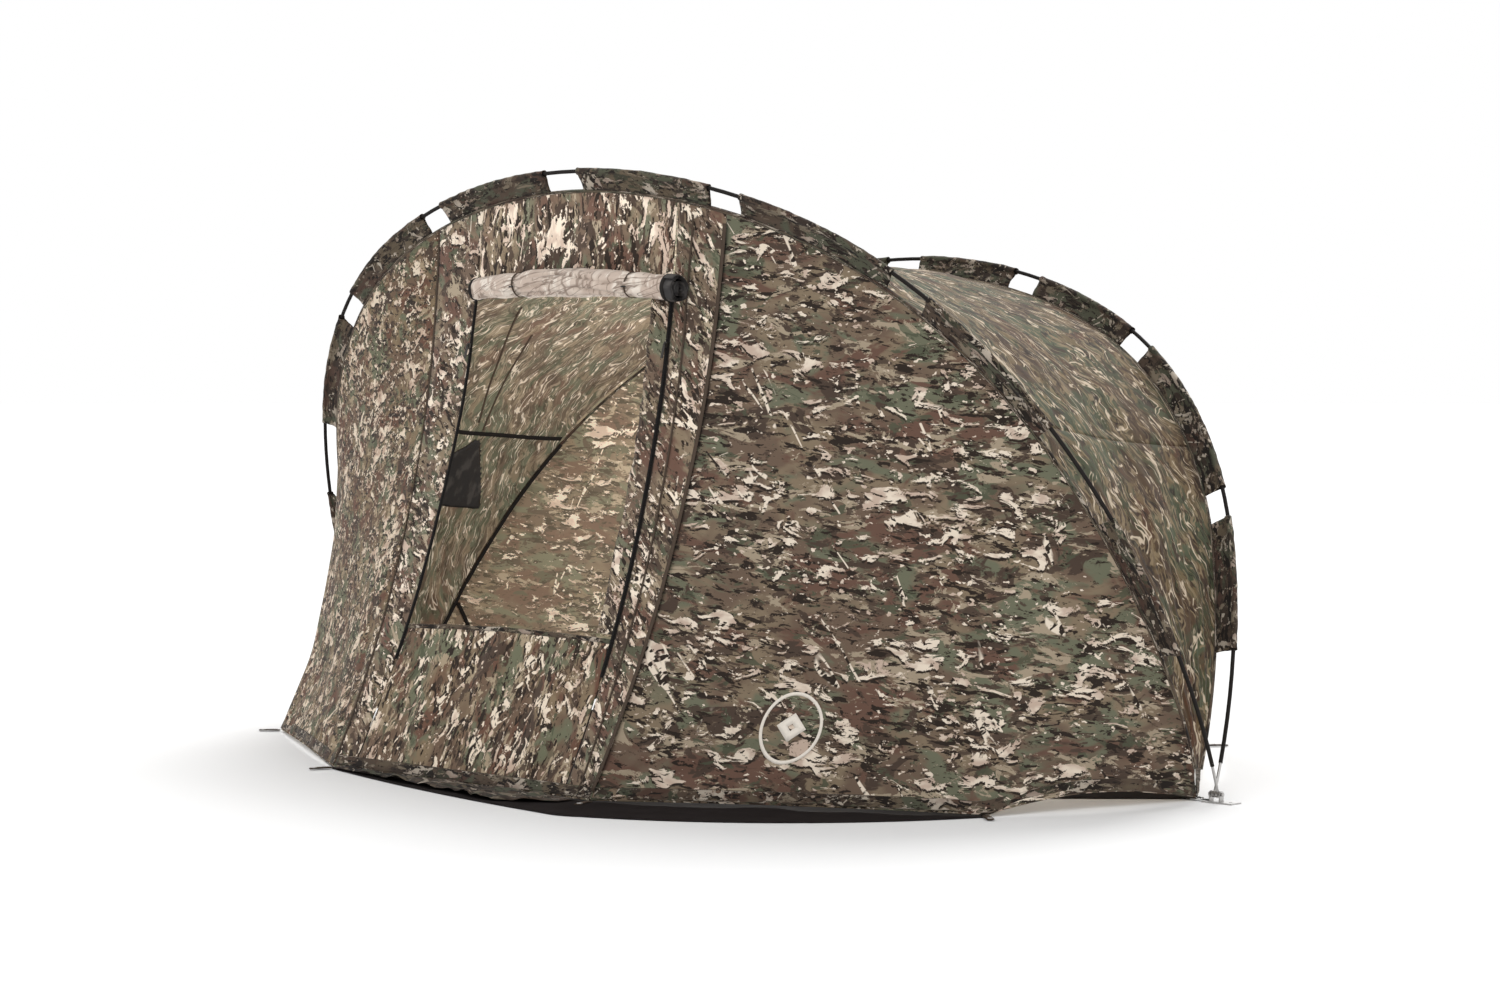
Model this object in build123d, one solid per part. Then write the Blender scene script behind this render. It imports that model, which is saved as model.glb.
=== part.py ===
from build123d import *
import os
from math import acos, asin, atan2, cos, degrees, hypot, pi, radians, sin

os.makedirs("parts", exist_ok=True)

# ---------------------------------------------------------------- driving dimensions (mm)
AXIS_HEIGHT = 22.0            # hub pin above the ground
HUB_X = 1700.0                # middle of each hub, sideways from the centre
RIB_STAGGER = 6.0             # front rib eyes sit this far outboard of HUB_X, rear ones inboard

POLE_R = 5.5                  # fibreglass pole, outside
POLE_BORE_R = 4.25
POLE_SECTIONS = 9
FERRULE_R = 6.5
FERRULE_LENGTH = 60.0
TIP_ROD_R = 3.9
TIP_EXPOSED = 86.0            # bare metal between the hub eye and the first pole section
TIP_INSERTED = 38.0
CORD_R = 1.5

EYE_R = 9.0
EYE_WIDTH = 8.0
PIN_R = 3.0
EYE_BORE_R = 3.05

SLEEVE_R = 8.6
SLEEVE_BORE_R = 7.3
SLEEVE_WEB = 3.0
SEAM_INSET = 58.0             # cloth edge inside the pole centreline
WEB_INSET = 52.0

CLOTH = 2.0                   # cloth and its hem, as one thickness
CLOTH_GAP = 3.0               # cloth edge off the rib plane
FOCUS = (0.0, 0.0, 500.0)     # slack cloth is drawn in towards this point

CORNER = (1640.0, 0.0)        # cloth corner beside the hub
FRONT_CORNER = (1463.0, -653.0)
DOOR_FOOT = (543.0, -1161.0)
REAR_CORNER = (892.0, 1049.0)
HEM_Z = 7.0

DOOR_SEAM_TOP = 600.0         # half width between the door seams at the front rib
ZIP_X = 430.0                 # half width between the zips
WALL_SAG = 90.0
ROOF_SAG = 40.0
SILL_V = 0.25                 # sill height and opening height, as fractions of the wall
LINTEL_V = 0.862
ROLL_V = 0.834
ROLL_OUT = 64.0               # roll axis, off the wall


# ---------------------------------------------------------------- rib geometry
def make_rib(start_x, headings, leg_radius, haunch_radius, tilt):
    """A rib of five tangent arcs from the right hub over the crown to the left hub."""
    f0, f1, f2 = [radians(h) for h in headings]
    turns = [(f0, f1, leg_radius), (f1, f2, haunch_radius)]
    x, r, s, arcs = start_x, 0.0, 0.0, []
    for a, b, radius in turns:
        centre = (x - radius * sin(a), r + radius * cos(a))
        arcs.append((centre, radius, a, b, s, s + radius * (b - a)))
        x, r = centre[0] + radius * sin(b), centre[1] - radius * cos(b)
        s += radius * (b - a)
    crown = x / sin(f2)
    centre = (0.0, r + crown * cos(f2))
    sweep = 2 * (pi - f2)
    arcs.append((centre, crown, f2, f2 + sweep, s, s + crown * sweep))
    s += crown * sweep
    for (cx, cr), radius, a, b, s0, s1 in reversed(arcs[:2]):
        arcs.append(((-cx, cr), radius, 2 * pi - b, 2 * pi - a, s, s + s1 - s0))
        s += s1 - s0
    return {"arcs": arcs, "length": s, "tilt": radians(tilt), "start_x": start_x}


def rib_local(rib, s, inset=0.0):
    """Point in the rib plane at pole length s from the right hub, moved inwards by inset."""
    for centre, radius, a, b, s0, s1 in rib["arcs"]:
        if s <= s1 or s1 == rib["length"]:
            f = a + (s - s0) / radius
            return centre[0] + (radius - inset) * sin(f), centre[1] - (radius - inset) * cos(f)


def rib_space(rib, x, r, off=0.0):
    """Rib-plane point to space; off is measured square to the plane, forwards."""
    t = rib["tilt"]
    return (x, r * cos(t) - off * sin(t), AXIS_HEIGHT + r * sin(t) + off * cos(t))


def seam(rib, s, off=0.0, inset=SEAM_INSET):
    return rib_space(rib, *rib_local(rib, s, inset), off)


def length_at_x(rib, x, inset=SEAM_INSET):
    """Pole length at which the crown's seam line stands at x."""
    centre, radius, a, b, s0, s1 = rib["arcs"][2]
    return s0 + radius * (pi - asin(x / (radius - inset)) - a)


FRONT = make_rib(HUB_X + RIB_STAGGER, (83.7, 118.39, 156.55), 1810.6, 1374.3, 114.78)
REAR = make_rib(HUB_X - RIB_STAGGER, (93.71, 112.52, 154.49), 2232.5, 1383.9, 65.28)


# ---------------------------------------------------------------- cloth surfaces
def mix(p, q, t):
    return tuple(a + (b - a) * t for a, b in zip(p, q))


def drawn_in(p, amount):
    """Move a point inwards by amount; cloth no wider than the door moves straight back."""
    reach = DOOR_SEAM_TOP
    d = [f - a for f, a in zip((max(-reach, min(reach, p[0])), *FOCUS[1:]), p)]
    n = hypot(*d)
    return tuple(a + amount * b / n for a, b in zip(p, d))


def slack(v):
    return 1 - abs(2 * v - 1) ** 3


def along(points, lifts, t):
    """Point at fraction t of a ground line; lifts raises the hem between its pegs."""
    sizes = [hypot(q[0] - p[0], q[1] - p[1]) for p, q in zip(points, points[1:])]
    want = t * sum(sizes)
    for p, q, size, lift in zip(points, points[1:], sizes, lifts):
        if want <= size or q == points[-1]:
            k = min(want / size, 1.0)
            x, y = mix(p, q, k)
            return (x, y, HEM_Z + lift * sin(pi * k))
        want -= size


def front_panel(u, v):
    """Right front panel: u from the hub corner to the door seam, v from the hem to the rib."""
    s0, s1 = 70.0, length_at_x(FRONT, DOOR_SEAM_TOP)
    top = seam(FRONT, s0 + (s1 - s0) * u, CLOTH_GAP)
    foot = along([CORNER, FRONT_CORNER, DOOR_FOOT], [35.0, 5.0], u)
    size = hypot(*[a - b for a, b in zip(top, foot)])
    return drawn_in(mix(foot, top, v), WALL_SAG * size / 1660.0 * slack(v))


def door_zone(k, v, out=0.0):
    """Door wall: k runs -1 to 1 between the door seams; out moves outwards, off the cloth."""
    foot = (k * DOOR_FOOT[0], DOOR_FOOT[1], HEM_Z)
    top = seam(FRONT, length_at_x(FRONT, k * DOOR_SEAM_TOP), CLOTH_GAP)
    return drawn_in(mix(foot, top, v), WALL_SAG * slack(v) - out)


BAR_U = 0.197                 # the roof's side seam, as a fraction along the rib
BAR_TILT = (-0.0035, 0.0050)  # moves its front and rear ends along the ribs, to make it level


def roof(u, v):
    """Roof: u from the right hub to the left hub, v from the front rib to the rear rib."""
    near_bar = max(0.0, 1 - abs(min(u, 1 - u) - BAR_U) / BAR_U) * (1 if u < 0.5 else -1)
    s = [70.0 + (rib["length"] - 140.0) * (u + tilt * near_bar)
         for rib, tilt in zip((FRONT, REAR), BAR_TILT)]
    p, q = seam(FRONT, s[0], -CLOTH_GAP), seam(REAR, s[1], CLOTH_GAP)
    size = hypot(*[a - b for a, b in zip(p, q)])
    return drawn_in(mix(p, q, v), ROOF_SAG * size / 1500.0 * 4 * v * (1 - v))


def rear_wall(u, v):
    """Rear wall: u from the right hub corner to the left, v from the hem to the rib."""
    top = seam(REAR, 70.0 + (REAR["length"] - 140.0) * u, -CLOTH_GAP)
    line = [CORNER, REAR_CORNER, (-REAR_CORNER[0], REAR_CORNER[1]), (-CORNER[0], CORNER[1])]
    foot = along(line, [30.0, 8.0, 30.0], u)
    size = hypot(*[a - b for a, b in zip(top, foot)])
    return drawn_in(mix(foot, top, v), WALL_SAG * size / 1660.0 * slack(v))


# ---------------------------------------------------------------- solid builders
def save(name, solids):
    solids = list(solids) if isinstance(solids, (list, tuple)) else [solids]
    shape = solids[0] if len(solids) == 1 else Compound(children=solids)
    shape.label = name
    export_step(shape, f"parts/{name}.step")


def bent(rib, s0, s1, profile):
    """Sweep a profile along the rib from s0 to s1. profile(radius) is drawn round (radius, 0)."""
    whole = None
    for centre, radius, a, b, p0, p1 in rib["arcs"]:
        lo, hi = max(s0, p0), min(s1, p1)
        if hi - lo < 0.01:
            continue
        f = a + (lo - p0) / radius
        cut = Plane(origin=(*centre, 0), x_dir=(sin(f), -cos(f), 0), z_dir=(-cos(f), -sin(f), 0))
        turn = degrees((hi - lo) / radius)
        piece = revolve(cut * profile(radius), Axis((*centre, 0), (0, 0, 1)), turn)
        whole = piece if whole is None else whole + piece
    t = rib["tilt"]
    plane = Plane(origin=(0, 0, AXIS_HEIGHT), x_dir=(1, 0, 0), z_dir=(0, -sin(t), cos(t)))
    return (plane * whole).solid()


def ring(outer, bore):
    return lambda radius: Pos(radius, 0) * (Circle(outer) - Circle(bore))


def rod(r):
    return lambda radius: Pos(radius, 0) * Circle(r)


def fin(radius):
    """Pole sleeve: a cloth tube with a flat web down to the seam."""
    web_out, web_in = radius - SLEEVE_BORE_R, radius - WEB_INSET
    web = Pos((web_out + web_in) / 2, 0) * Rectangle(web_out - web_in, SLEEVE_WEB)
    return Pos(radius, 0) * Circle(SLEEVE_R) + web - Pos(radius, 0) * Circle(SLEEVE_BORE_R)


def minus(p, q):
    return tuple(a - b for a, b in zip(p, q))


def cross(p, q):
    return (p[1] * q[2] - p[2] * q[1], p[2] * q[0] - p[0] * q[2], p[0] * q[1] - p[1] * q[0])


def sheet(f, nu, nv, u0=0.0, u1=1.0, v0=0.0, v1=1.0, lift=0.0, thick=CLOTH):
    """Closed cloth panel of flat facets on the surface f(u, v), lifted off it outwards."""
    outer, inner = [], []
    for i in range(nu + 1):
        outer.append([])
        inner.append([])
        for j in range(nv + 1):
            u, v = u0 + (u1 - u0) * i / nu, v0 + (v1 - v0) * j / nv
            p, e = f(u, v), 0.002
            n = cross(minus(f(min(u + e, 1), v), f(max(u - e, 0), v)),
                      minus(f(u, min(v + e, 1)), f(u, max(v - e, 0))))
            size = hypot(*n)
            out = 1 if sum(a * b for a, b in zip(n, minus(p, FOCUS))) > 0 else -1
            for side, store in ((lift + thick / 2, outer), (lift - thick / 2, inner)):
                store[i].append(tuple(a + side * out * b / size for a, b in zip(p, n)))
    faces = []

    def patch(a, b, c, d):
        for tri in ((a, b, c), (a, c, d)):
            faces.append(Face(Wire.make_polygon([Vector(*p) for p in tri], close=True)))

    for i in range(nu):
        for j in range(nv):
            for g in (outer, inner):
                patch(g[i][j], g[i + 1][j], g[i + 1][j + 1], g[i][j + 1])
    for i in range(nu):
        for j in (0, nv):
            patch(outer[i][j], outer[i + 1][j], inner[i + 1][j], inner[i][j])
    for j in range(nv):
        for i in (0, nu):
            patch(outer[i][j], outer[i][j + 1], inner[i][j + 1], inner[i][j])
    return Solid(Shell(faces)).fix()


def both(build):
    """The right-hand piece and its mirror image across the middle plane."""
    right = build()
    return right, right.mirror(Plane.YZ)


# ---------------------------------------------------------------- poles
GAPS = {  # sleeve stretches, measured along the pole from the crown
    "front": (FRONT, [(70, 565), (674, 1190), (1315, 1777), (2060, 2457)]),
    "rear": (REAR, [(70, 477), (589, 1026), (1132, 1708), (1808, 2212)]),
}

for name, (rib, stretches) in GAPS.items():
    half = rib["length"] / 2
    step = (rib["length"] - 2 * TIP_EXPOSED) / POLE_SECTIONS
    joints = [TIP_EXPOSED + step * i for i in range(POLE_SECTIONS + 1)]
    save(f"{name}_pole", [bent(rib, a + 0.2, b - 0.2, ring(POLE_R, POLE_BORE_R))
                          for a, b in zip(joints, joints[1:])])
    save(f"{name}_ferrules", [bent(rib, s - FERRULE_LENGTH / 2, s + FERRULE_LENGTH / 2,
                                   ring(FERRULE_R, POLE_R + 0.15)) for s in joints[1:-1]])
    save(f"{name}_shock_cord", bent(rib, TIP_EXPOSED + TIP_INSERTED + 1,
                                    rib["length"] - TIP_EXPOSED - TIP_INSERTED - 1, rod(CORD_R)))
    eye_x = rib["start_x"]
    shank = bent(rib, 4.0, TIP_EXPOSED + TIP_INSERTED, rod(TIP_ROD_R))
    eye = Pos(eye_x, 0, AXIS_HEIGHT) * Rot(0, 90, 0) * Cylinder(EYE_R, EYE_WIDTH)
    bore = Pos(eye_x, 0, AXIS_HEIGHT) * Rot(0, 90, 0) * Cylinder(EYE_BORE_R, EYE_WIDTH + 10)
    right, left = both(lambda: (eye + shank - bore).solid())
    save(f"{name}_tip_right", right)
    save(f"{name}_tip_left", left)
    ranges = [(half - b, half - a) for a, b in stretches]
    ranges += [(half + a, half + b) for a, b in stretches]
    save(f"{name}_sleeves", [bent(rib, a, b, fin) for a, b in sorted(ranges)])

# ---------------------------------------------------------------- hubs
PLATE = 4.0
EAR = 3.0
EAR_OFFSET = 16.0
PEG_HOLE_X = HUB_X + 46.0
PEG_HOLE_R = 5.0


def hub_bracket():
    plate = Pos(HUB_X + 16, 0, PLATE / 2) * Box(96, 44, PLATE)
    plate -= Pos(PEG_HOLE_X, 0, PLATE / 2) * Cylinder(PEG_HOLE_R, PLATE * 3)
    for side in (-1, 1):
        x = HUB_X + side * EAR_OFFSET
        ear = Pos(x, 0, (PLATE + AXIS_HEIGHT) / 2) * Box(EAR, 2 * EYE_R, AXIS_HEIGHT - PLATE)
        ear += Pos(x, 0, AXIS_HEIGHT) * Rot(0, 90, 0) * Cylinder(EYE_R, EAR)
        plate += ear
    return (plate - Pos(HUB_X, 0, AXIS_HEIGHT) * Rot(0, 90, 0) * Cylinder(EYE_BORE_R, 60)).solid()


def hub_pin():
    pin = Pos(HUB_X, 0, AXIS_HEIGHT) * Rot(0, 90, 0) * Cylinder(PIN_R, 44)
    for side in (-1, 1):
        pin += Pos(HUB_X + side * 21, 0, AXIS_HEIGHT) * Rot(0, 90, 0) * Cylinder(5.0, 3.0)
    return pin.solid()


def hub_strap():
    """Webbing that ties the cloth corner to the bracket's inner end."""
    line = Polyline((1590, 3.3), (1652, 3.3), (1660, 4.2), (1680, 4.2), (1680, 5.7),
                    (1659, 5.7), (1651, 4.8), (1590, 4.8), close=True)
    return extrude(Plane.XZ * make_face(line), 10, both=True).solid()


for name, build in (("hub_bracket", hub_bracket), ("hub_pin", hub_pin), ("hub_strap", hub_strap)):
    right, left = both(build)
    save(f"{name}_right", right)
    save(f"{name}_left", left)

# ---------------------------------------------------------------- ground
SHEET = 3.0
APRON = 265.0                 # the groundsheet reaches this far out past the right front hem
EYELET_OUT = 57.0             # peg eyelets, outwards from the hem corners


LIP = [(60.0, -1304.0), (612.0, -1382.0), (670.0, -1384.0)]  # its front edge before the door


def groundsheet():
    inset = [(1600, 0), (1310, -270), (1435, -630), (535, -1143), (-535, -1143), (-1435, -630),
             (-1310, -270), (-1600, 0), (-880, 1030), (880, 1030)]
    plate = extrude(make_face(Polyline(*inset, close=True)), SHEET)
    dx, dy = FRONT_CORNER[0] - DOOR_FOOT[0], FRONT_CORNER[1] - DOOR_FOOT[1]
    run = hypot(dx, dy)

    def beyond(t, out):
        """Point at a fraction along the right front hem and a distance out past it."""
        return (DOOR_FOOT[0] + dx * t + out * dy / run, DOOR_FOOT[1] + dy * t - out * dx / run)

    start, bend = (-DOOR_FOOT[0], DOOR_FOOT[1]), beyond(60 / run, APRON)
    edge = ThreePointArc(start, LIP[0], LIP[1]) + ThreePointArc(LIP[1], LIP[2], bend)
    edge += ThreePointArc(bend, beyond(0.56, APRON * 0.9), FRONT_CORNER)
    edge += Polyline(FRONT_CORNER, beyond(0.97, -60), (-500, -1120), start)
    return (plate + extrude(make_face(edge), SHEET)).solid()


def peg_loop(corner, angle):
    """Flat webbing loop with an eyelet, pointing outwards from a hem corner."""
    tape = Pos(36, 0, 0) * Box(66, 18, 2) - Pos(EYELET_OUT, 0, 0) * Cylinder(5, 6)
    return (Pos(*corner, 5.2) * Rot(0, 0, angle) * tape).solid()


def loops(corners):
    made = []
    for (x, y), angle in corners:
        made += [peg_loop((x, y), angle), peg_loop((-x, y), 180 - angle)]
    return made


save("groundsheet", groundsheet())
save("front_peg_loops", loops([(FRONT_CORNER, -38), (DOOR_FOOT, -72)]))
save("rear_peg_loops", loops([(REAR_CORNER, 52)]))

# ---------------------------------------------------------------- cloth
HEM_V = 0.02
LEFT_ZIP = (455.0, 85.0)      # the left zip leans: its distance from the middle is a - b * v

right, left = both(lambda: sheet(front_panel, 22, 8, u0=0.004))
save("front_panel_right", right)
save("front_panel_left", left)


def door_at(x, v, out=0.0):
    half = DOOR_FOOT[0] + (DOOR_SEAM_TOP - DOOR_FOOT[0]) * v
    return door_zone(x / half, v, out)


def beside_zip(side, gap):
    """Edge of the door-wall cloth at a distance from a zip, outwards of the door if positive."""
    if side == "right":
        return lambda v: ZIP_X + gap
    return lambda v: -(LEFT_ZIP[0] - LEFT_ZIP[1] * v) - gap


def door_seam(side):
    turn = 1 if side == "right" else -1
    return lambda v: turn * (DOOR_FOOT[0] + (DOOR_SEAM_TOP - DOOR_FOOT[0]) * v - 3)


def door_sheet(x0, x1, v0, v1, nu, nv, **more):
    """Door-wall cloth between two upright edges, each an x that varies with v."""
    return sheet(lambda u, v: door_at(x0(v) + (x1(v) - x0(v)) * u, v), nu, nv, v0=v0, v1=v1, **more)


for side in ("right", "left"):
    save(f"door_strip_{side}", door_sheet(beside_zip(side, 3), door_seam(side), 0, 1, 2, 10))
    save(f"zip_track_{side}", door_sheet(beside_zip(side, -7), beside_zip(side, 7), 0.19, 0.85, 1, 10,
                                         lift=3.2, thick=1.5))
door_edges = beside_zip("left", -3), beside_zip("right", -3)
save("door_header", door_sheet(*door_edges, LINTEL_V, 1, 10, 3))
save("door_sill", door_sheet(*door_edges, 0, SILL_V, 10, 4))
save("zip_baffle", door_sheet(beside_zip("right", -78), beside_zip("right", -5), SILL_V + 0.01, LINTEL_V,
                              2, 8, lift=-5.0))
FLAP_X = (-520.0, 490.0)      # mud flap along the door sill
FLAP_Z = (8.5, 6.0)


def mud_flap(u, v):
    """Loose cloth on the ground in front of the sill, wide where the groundsheet's lip is wide."""
    x = FLAP_X[0] + (FLAP_X[1] - FLAP_X[0]) * u
    wide = 8.0 + 0.176 * (x - FLAP_X[0]) - 50.0 * max(0.0, (x - 330) / 100) ** 2
    return (x, DOOR_FOOT[1] - 6.0 - wide * v, mix(FLAP_Z[:1], FLAP_Z[1:], v)[0])


save("sill_flap", sheet(mud_flap, 16, 2))
save("storm_flap", door_sheet(beside_zip("right", 62), door_seam("right"), 0.02, 0.96, 2, 10, lift=5.0))
right, left = both(lambda: sheet(front_panel, 22, 1, u0=0.004, v1=HEM_V, lift=-3.5, thick=1.5))
middle = sheet(lambda u, v: door_zone(2 * u - 1, v), 8, 1, u0=0.005, u1=0.995, v1=HEM_V,
               lift=-3.5, thick=1.5)
save("front_hem_tape", [right, left, middle])

save("roof_panel", sheet(roof, 36, 6, u0=BAR_U + 0.001, u1=1 - BAR_U - 0.001))
right, left = both(lambda: sheet(roof, 10, 6, u1=BAR_U - 0.001))
save("side_panel_right", right)

VENT_U = (0.138, 0.190)       # bottom and top of the left side vent
VENT_V = (0.30, 0.775)
VENT_TIP_V = 0.60


def vent(u0, u1, v0, v1, depth):
    """Triangular prism through the left side panel, apex up."""
    tip, foot = roof(1 - u1, VENT_TIP_V), [roof(1 - u0, v) for v in (v0, v1)]
    n = cross(minus(foot[0], tip), minus(foot[1], tip))
    size = hypot(*n)
    corners = [tuple(a - depth * b / size for a, b in zip(p, n)) for p in (tip, *foot)]
    face = Face(Wire.make_polygon([Vector(*p) for p in corners], close=True))
    return extrude(face, 2 * depth, dir=tuple(b / size for b in n))


hole = vent(*VENT_U, *VENT_V, 40)
save("side_panel_left", (left - hole).solid())
mesh = sheet(roof, 3, 4, u0=1 - VENT_U[1] - 0.003, u1=1 - VENT_U[0] + 0.006,
             v0=VENT_V[0] - 0.05, v1=VENT_V[1] + 0.05, lift=-3.2, thick=1.5)
save("vent_mesh", mesh)
save("side_seam_tapes", both(lambda: sheet(roof, 1, 5, u0=BAR_U - 0.003, u1=BAR_U + 0.003,
                                           v0=0.03, v1=0.97, lift=-4.0, thick=1.5)))

CORNER_U = 0.3                # rear corner, as a fraction along the rear hem
REAR_SPANS = [(0.004, CORNER_U - 0.0006, 12), (CORNER_U + 0.0006, 1 - CORNER_U - 0.0006, 16),
              (1 - CORNER_U + 0.0006, 0.996, 12)]


def rear_piece(u0, u1, nu, nv=8, **more):
    return sheet(rear_wall, nu, nv, u0=u0, u1=u1, **more)


for name, span in zip(("rear_corner_right", "rear_wall", "rear_corner_left"), REAR_SPANS):
    save(name, rear_piece(*span))
save("rear_hem_tape", [rear_piece(u0, u1, nu, 1, v1=HEM_V, lift=-3.5, thick=1.5)
                       for u0, u1, nu in REAR_SPANS])
save("rear_seam_tapes", both(lambda: sheet(rear_wall, 1, 8, u0=0.065, u1=0.069, v0=0.03, v1=0.97,
                                           lift=-3.5, thick=1.5)))

# ---------------------------------------------------------------- rolled door
ROLL_R = 43.0
ROLL_BORE_R = 29.0
MESH_ROLL_R = 28.0
CUFF_R = 38.0                 # the rolled mesh stands out of the right end of the door roll
ROLL_X = (-300.0, 490.0)
MESH_X = (-315.0, 532.0)
TIES = (-117.0, 345.0)

axis_y, axis_z = door_at(0, ROLL_V, ROLL_OUT)[1:]


def barrel(x0, x1, r):
    return Pos((x0 + x1) / 2, axis_y, axis_z) * Rot(0, 90, 0) * Cylinder(r, x1 - x0)


save("door_roll", (barrel(*ROLL_X, ROLL_R) - barrel(*ROLL_X, ROLL_BORE_R)).solid())
cuff = barrel(ROLL_X[1] + 2, MESH_X[1], CUFF_R)
save("mesh_roll", (barrel(*MESH_X, MESH_ROLL_R) + cuff).solid())
bands = [(barrel(x - 9, x + 9, ROLL_R + 3.0) - barrel(x - 9, x + 9, ROLL_R + 1.0)).solid() for x in TIES]
save("roll_ties", bands)
save("tie_toggles", [(Pos(x, axis_y - ROLL_R - 7, axis_z) * Rot(0, 90, 0) * Cylinder(3.5, 34)).solid()
                     for x in TIES])

# ---------------------------------------------------------------- zip sliders
SLIDER_V = 0.78
SLIDER_OUT = 12.0


def zip_slider(side):
    x, y, z = door_at(beside_zip(side, 0)(SLIDER_V), SLIDER_V, SLIDER_OUT)
    lean = degrees(atan2(DOOR_FOOT[1] + 700, 1600))
    body = Box(12, 5, 15) + Pos(0, -4, 0) * Box(3, 4, 8)
    body -= Pos(0, -4.2, 0) * Rot(0, 90, 0) * Cylinder(1.3, 20)
    return (Pos(x, y, z) * Rot(lean, 0, 0) * body).solid()


def zip_pull(side):
    x, y, z = door_at(beside_zip(side, 0)(SLIDER_V), SLIDER_V, SLIDER_OUT)
    lean = degrees(atan2(DOOR_FOOT[1] + 700, 1600))
    tab = Pos(0, -4.2, -22) * Box(9, 2, 36)
    tab += Pos(0, -4.2, -3.5) * Box(7, 2, 5)
    tab -= Pos(0, -4.2, 0) * Box(3.6, 8, 10)
    wire = Pos(0, -4.2, 0) * Rot(0, 90, 0) * Cylinder(1.25, 9)
    arms = [Pos(side * 3.6, -4.2, -2) * Box(1.8, 2.2, 6) for side in (-1, 1)]
    tab = tab + wire + arms[0] + arms[1]
    return (Pos(x, y, z) * Rot(lean, 0, 0) * tab).solid()


for side in ("right", "left"):
    save(f"zip_slider_{side}", zip_slider(side))
    save(f"zip_pull_{side}", zip_pull(side))
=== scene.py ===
from math import cos, pi, radians, sin

import bpy
import numpy as np
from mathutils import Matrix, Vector
from mathutils.geometry import delaunay_2d_cdt


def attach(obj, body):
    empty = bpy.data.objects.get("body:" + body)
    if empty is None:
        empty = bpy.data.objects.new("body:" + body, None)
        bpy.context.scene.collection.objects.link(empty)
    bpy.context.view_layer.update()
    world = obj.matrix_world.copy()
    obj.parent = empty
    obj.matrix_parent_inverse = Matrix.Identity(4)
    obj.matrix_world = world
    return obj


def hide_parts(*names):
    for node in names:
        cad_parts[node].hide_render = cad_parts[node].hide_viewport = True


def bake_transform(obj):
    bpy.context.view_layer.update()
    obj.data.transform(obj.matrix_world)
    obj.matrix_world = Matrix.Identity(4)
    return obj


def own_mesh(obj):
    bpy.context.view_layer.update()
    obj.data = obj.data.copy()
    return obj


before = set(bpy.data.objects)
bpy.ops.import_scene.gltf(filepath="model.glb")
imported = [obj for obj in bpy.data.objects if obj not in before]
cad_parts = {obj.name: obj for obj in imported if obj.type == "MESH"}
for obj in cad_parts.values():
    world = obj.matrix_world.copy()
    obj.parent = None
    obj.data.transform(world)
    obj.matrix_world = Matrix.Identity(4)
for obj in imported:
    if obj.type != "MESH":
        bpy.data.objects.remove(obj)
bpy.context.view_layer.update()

# ------------------------------------------------------------------ dimensions (m), as in the CAD
AXIS = 0.022
SEAM_INSET = 0.058
CLOTH_GAP = 0.003
CORNER = (1.640, 0.0)
FRONT_CORNER = (1.463, -0.653)
DOOR_FOOT = (0.543, -1.161)
REAR_CORNER = (0.892, 1.049)
HEM_Z = 0.007
DOOR_SEAM_TOP = 0.600
ZIP_X = 0.430
WALL_SAG = 0.090
ROOF_SAG = 0.040
SILL_V, LINTEL_V = 0.25, 0.862
ROLL_V, ROLL_OUT = 0.834, 0.064
ROLL_X = (-0.300, 0.490)
MESH_END = 0.530
TIES = (-0.117, 0.345)
BAR_U = 0.197
BAR_TILT = (-0.0035, 0.0050)
LEFT_ZIP = (0.455, 0.085)     # the left zip leans
CORNER_U = 0.3
TILT_FRONT, TILT_REAR = 114.78, 65.28
STARTS = 0.070                # cloth starts this far up the pole from the hub
COARSE = 1.0
UP = np.array([0.0, 0.0, 1.0])
MIRROR = np.array([-1.0, 1.0, 1.0])
MIDDLE = np.array([0.0, 0.0, 0.5])    # a point inside the shelter, to tell outwards from inwards
PITCH = 0.0085                        # spacing of the cloth's grid along a surface, as a share of it


# ------------------------------------------------------------------ rib geometry
def make_rib(start_x, headings, leg, haunch, tilt):
    """Five tangent arcs from hub to hub: centre, radius, headings and pole lengths at both ends."""
    f0, f1, f2 = [radians(h) for h in headings]
    x, r, s, arcs = start_x, 0.0, 0.0, []
    for a, b, radius in ((f0, f1, leg), (f1, f2, haunch)):
        centre = (x - radius * sin(a), r + radius * cos(a))
        arcs.append((centre, radius, a, b, s, s + radius * (b - a)))
        x, r = centre[0] + radius * sin(b), centre[1] - radius * cos(b)
        s += radius * (b - a)
    crown = x / sin(f2)
    sweep = 2 * (pi - f2)
    arcs.append(((0.0, r + crown * cos(f2)), crown, f2, f2 + sweep, s, s + crown * sweep))
    s += crown * sweep
    for (cx, cr), radius, a, b, s0, s1 in reversed(arcs[:2]):
        arcs.append(((-cx, cr), radius, 2 * pi - b, 2 * pi - a, s, s + s1 - s0))
        s += s1 - s0
    return {"arcs": arcs, "length": s, "tilt": radians(tilt)}


FRONT = make_rib(1.706, (83.7, 118.39, 156.55), 1.8106, 1.3743, TILT_FRONT)
REAR = make_rib(1.694, (93.71, 112.52, 154.49), 2.2325, 1.3839, TILT_REAR)


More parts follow.
